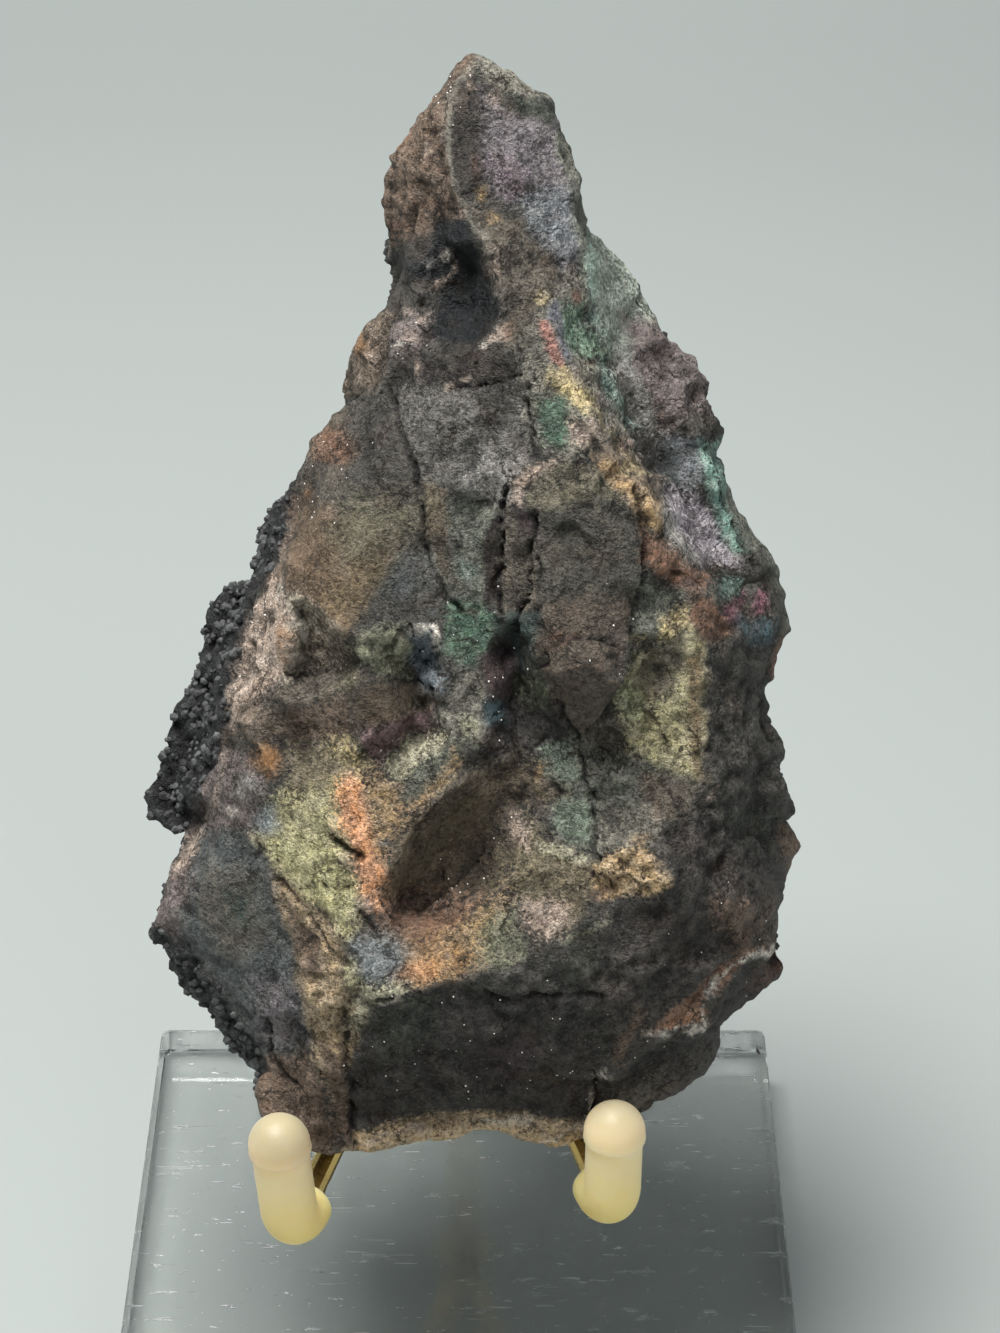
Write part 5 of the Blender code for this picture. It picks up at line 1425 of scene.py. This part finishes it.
def sleeve_stations(prong, settings):
    """The sleeve's line from its open end on the arm, round the bend and up to its rounded tip."""
    root = Vector((prong["x"], prong["y"], PRONG_FOOT_HEIGHT))
    along = (root - Vector((0.0, POST_Y, HUB_HEIGHT))).normalized()
    tip = root + Vector((prong["splay"], prong["lean"], prong["rise"]))
    rise = (tip - root).normalized()
    angle = along.angle(rise)
    inward = (rise - along * rise.dot(along)).normalized()
    start = root - along * (BEND_RADIUS * math.tan(angle / 2))
    centre = start + inward * BEND_RADIUS
    radius, tip_radius = settings.sleeve_radius, settings.tip_radius
    stations = []
    for k in range(MOUTH_STEPS + 1):
        share = k / MOUTH_STEPS
        back = SLEEVE_RUN - MOUTH_ROUNDING * share
        rounding = MOUTH_ROUNDING * (1.0 - math.sqrt(1.0 - (1.0 - share) ** 2))
        stations.append((start - along * back, radius - rounding))
    for k in range(BEND_STEPS + 1):
        turn = angle * k / BEND_STEPS
        offset = -inward * math.cos(turn) + along * math.sin(turn)
        stations.append((centre + offset * BEND_RADIUS, radius))
    ring = (
        (0.00170, radius), (0.00110, 0.995 * radius), (0.00092, 0.985 * radius), (0.00080, tip_radius),
        (0.00060, 1.018 * tip_radius), (0.00040, tip_radius),
    )
    stations += [(tip - rise * below, thickness) for below, thickness in ring]
    return stations + dome_stations(tip, rise, tip_radius, DOME_STEPS)


class SPECIMEN_OT_base(bpy.types.Operator):
    """Gives the base its clear, scratched acrylic"""

    bl_idname = "specimen.base"
    bl_label = "Finish the acrylic base"

    def execute(self, context):
        paint("acrylic_base", acrylic_material(context.scene.specimen_stand))
        return {"FINISHED"}


class SPECIMEN_OT_brass(bpy.types.Operator):
    """Gives the post and arms their polished brass"""

    bl_idname = "specimen.brass"
    bl_label = "Finish the brass frame"

    def execute(self, context):
        paint("brass_frame", brass_material(context.scene.specimen_stand))
        return {"FINISHED"}


class SPECIMEN_OT_silicone(bpy.types.Operator):
    """Draws the silicone sleeves and the post's cap over their solids"""

    bl_idname = "specimen.silicone"
    bl_label = "Draw the sleeves and the cap"

    def execute(self, context):
        settings = context.scene.specimen_stand
        tree, finish = tube_tree(), silicone_material(settings)
        for node, prong in PRONGS.items():
            sleeve = polyline_object(node + "_soft", sleeve_stations(prong, settings))
            grow(sleeve, tree, {"Sides": TUBE_SIDES, "Finish": finish})
            finish_piece(sleeve, "silicone", node)
        top = Vector((0.0, POST_Y, POST_TOP))
        radius, length = settings.cap_radius, settings.cap_length
        rim = ((length, 0.0006), (length - 0.0002, 0.0002), (length - 0.0006, 0.0), (0.003, 0.0))
        stations = [(top - UP * below, radius - rounding) for below, rounding in rim]
        cap = polyline_object("post_cap_soft", stations + dome_stations(top, UP, radius, DOME_STEPS))
        grow(cap, tree, {"Sides": TUBE_SIDES, "Finish": finish})
        finish_piece(cap, "silicone", "post_cap")
        return {"FINISHED"}


def floor_material(settings):
    material, shader, _, _ = new_material("plain_floor")
    shader.inputs["Base Color"].default_value = (*settings.floor_colour, 1.0)
    shader.inputs["Roughness"].default_value = 0.9
    return material


def add_floor(settings):
    """A pale floor that sweeps up behind the stand."""
    profile = [(FLOOR_FRONT, 0.0), (FLOOR_BEND, 0.0)]
    for k in range(1, FLOOR_STEPS + 1):
        angle = math.pi / 2 * k / FLOOR_STEPS
        rise = SWEEP_RADIUS - SWEEP_RADIUS * math.cos(angle)
        profile.append((FLOOR_BEND + SWEEP_RADIUS * math.sin(angle), rise))
    profile.append((FLOOR_BEND + SWEEP_RADIUS, WALL_TOP))
    points = [(x, y, z - FLOOR_GAP) for y, z in profile for x in (-FLOOR_SIDE, FLOOR_SIDE)]
    faces = [(2 * k, 2 * k + 1, 2 * k + 3, 2 * k + 2) for k in range(len(profile) - 1)]
    mesh = bpy.data.meshes.new("floor")
    mesh.from_pydata(points, [], faces)
    mesh.shade_smooth()
    mesh.materials.append(floor_material(settings))
    link_object("floor", mesh)


def add_light(name, power, place, size, colour):
    """A square soft light that looks at the specimen."""
    light = bpy.data.lights.new(name, "AREA")
    light.shape = "SQUARE"
    light.size = size
    light.energy = power
    light.color = colour
    lamp = link_object(name, light)
    lamp.location = place
    lamp.rotation_euler = (Vector(LIGHT_TARGET) - Vector(place)).to_track_quat("-Z", "Y").to_euler()


def add_world():
    world = bpy.data.worlds.new("studio")
    world.use_nodes = True
    back = world.node_tree.nodes["Background"]
    back.inputs["Color"].default_value = SKY_COLOUR
    back.inputs["Strength"].default_value = SKY_STRENGTH
    bpy.context.scene.world = world


def add_camera():
    lens = bpy.data.cameras.new("eye")
    lens.sensor_fit = "VERTICAL"
    lens.sensor_height = 36.0
    lens.lens = SIGHT_FOCAL / PICTURE_ROWS * lens.sensor_height
    lens.clip_start = 0.01
    lens.clip_end = 10.0
    camera = link_object("eye", lens)
    camera.location = EYE
    camera.rotation_euler = (math.pi / 2 - SIGHT_PITCH, 0.0, 0.0)
    bpy.context.scene.camera = camera


class SPECIMEN_OT_stage(bpy.types.Operator):
    """Sets the floor, the soft light and the camera"""

    bl_idname = "specimen.stage"
    bl_label = "Set the stage"

    def execute(self, context):
        settings = context.scene.specimen_stage
        add_world()
        add_floor(settings)
        add_light("key", settings.key_power, *KEY_LIGHT)
        add_light("fill", settings.fill_power, *FILL_LIGHT)
        add_camera()
        context.scene.view_settings.view_transform = "Standard"
        return {"FINISHED"}


class SPECIMEN_PT_panel(bpy.types.Panel):
    """Lists the specimen's steps and settings"""

    bl_label = "Specimen"
    bl_idname = "SPECIMEN_PT_panel"
    bl_space_type = "VIEW_3D"
    bl_region_type = "UI"
    bl_category = "Specimen"

    def draw(self, context):
        scene = context.scene
        for settings in (scene.specimen_stone, scene.specimen_stand, scene.specimen_stage):
            box = self.layout.box()
            for name in settings.__annotations__:
                box.prop(settings, name)
        for step in STEPS:
            self.layout.operator(step.bl_idname)


STEPS = (
    SPECIMEN_OT_stone, SPECIMEN_OT_crust, SPECIMEN_OT_glints, SPECIMEN_OT_base, SPECIMEN_OT_brass,
    SPECIMEN_OT_silicone, SPECIMEN_OT_stage,
)
CLASSES = (StoneSettings, StandSettings, StageSettings, *STEPS, SPECIMEN_PT_panel)


def register():
    for item in CLASSES:
        bpy.utils.register_class(item)
    bpy.types.Scene.specimen_stone = bpy.props.PointerProperty(type=StoneSettings)
    bpy.types.Scene.specimen_stand = bpy.props.PointerProperty(type=StandSettings)
    bpy.types.Scene.specimen_stage = bpy.props.PointerProperty(type=StageSettings)


def unregister():
    del bpy.types.Scene.specimen_stage
    del bpy.types.Scene.specimen_stand
    del bpy.types.Scene.specimen_stone
    for item in reversed(CLASSES):
        bpy.utils.unregister_class(item)


def main():
    register()
    bpy.ops.specimen.stone()
    bpy.ops.specimen.crust()
    bpy.ops.specimen.glints()
    bpy.ops.specimen.base()
    bpy.ops.specimen.brass()
    bpy.ops.specimen.silicone()
    bpy.ops.specimen.stage()


if __name__ == "__main__":
    main()
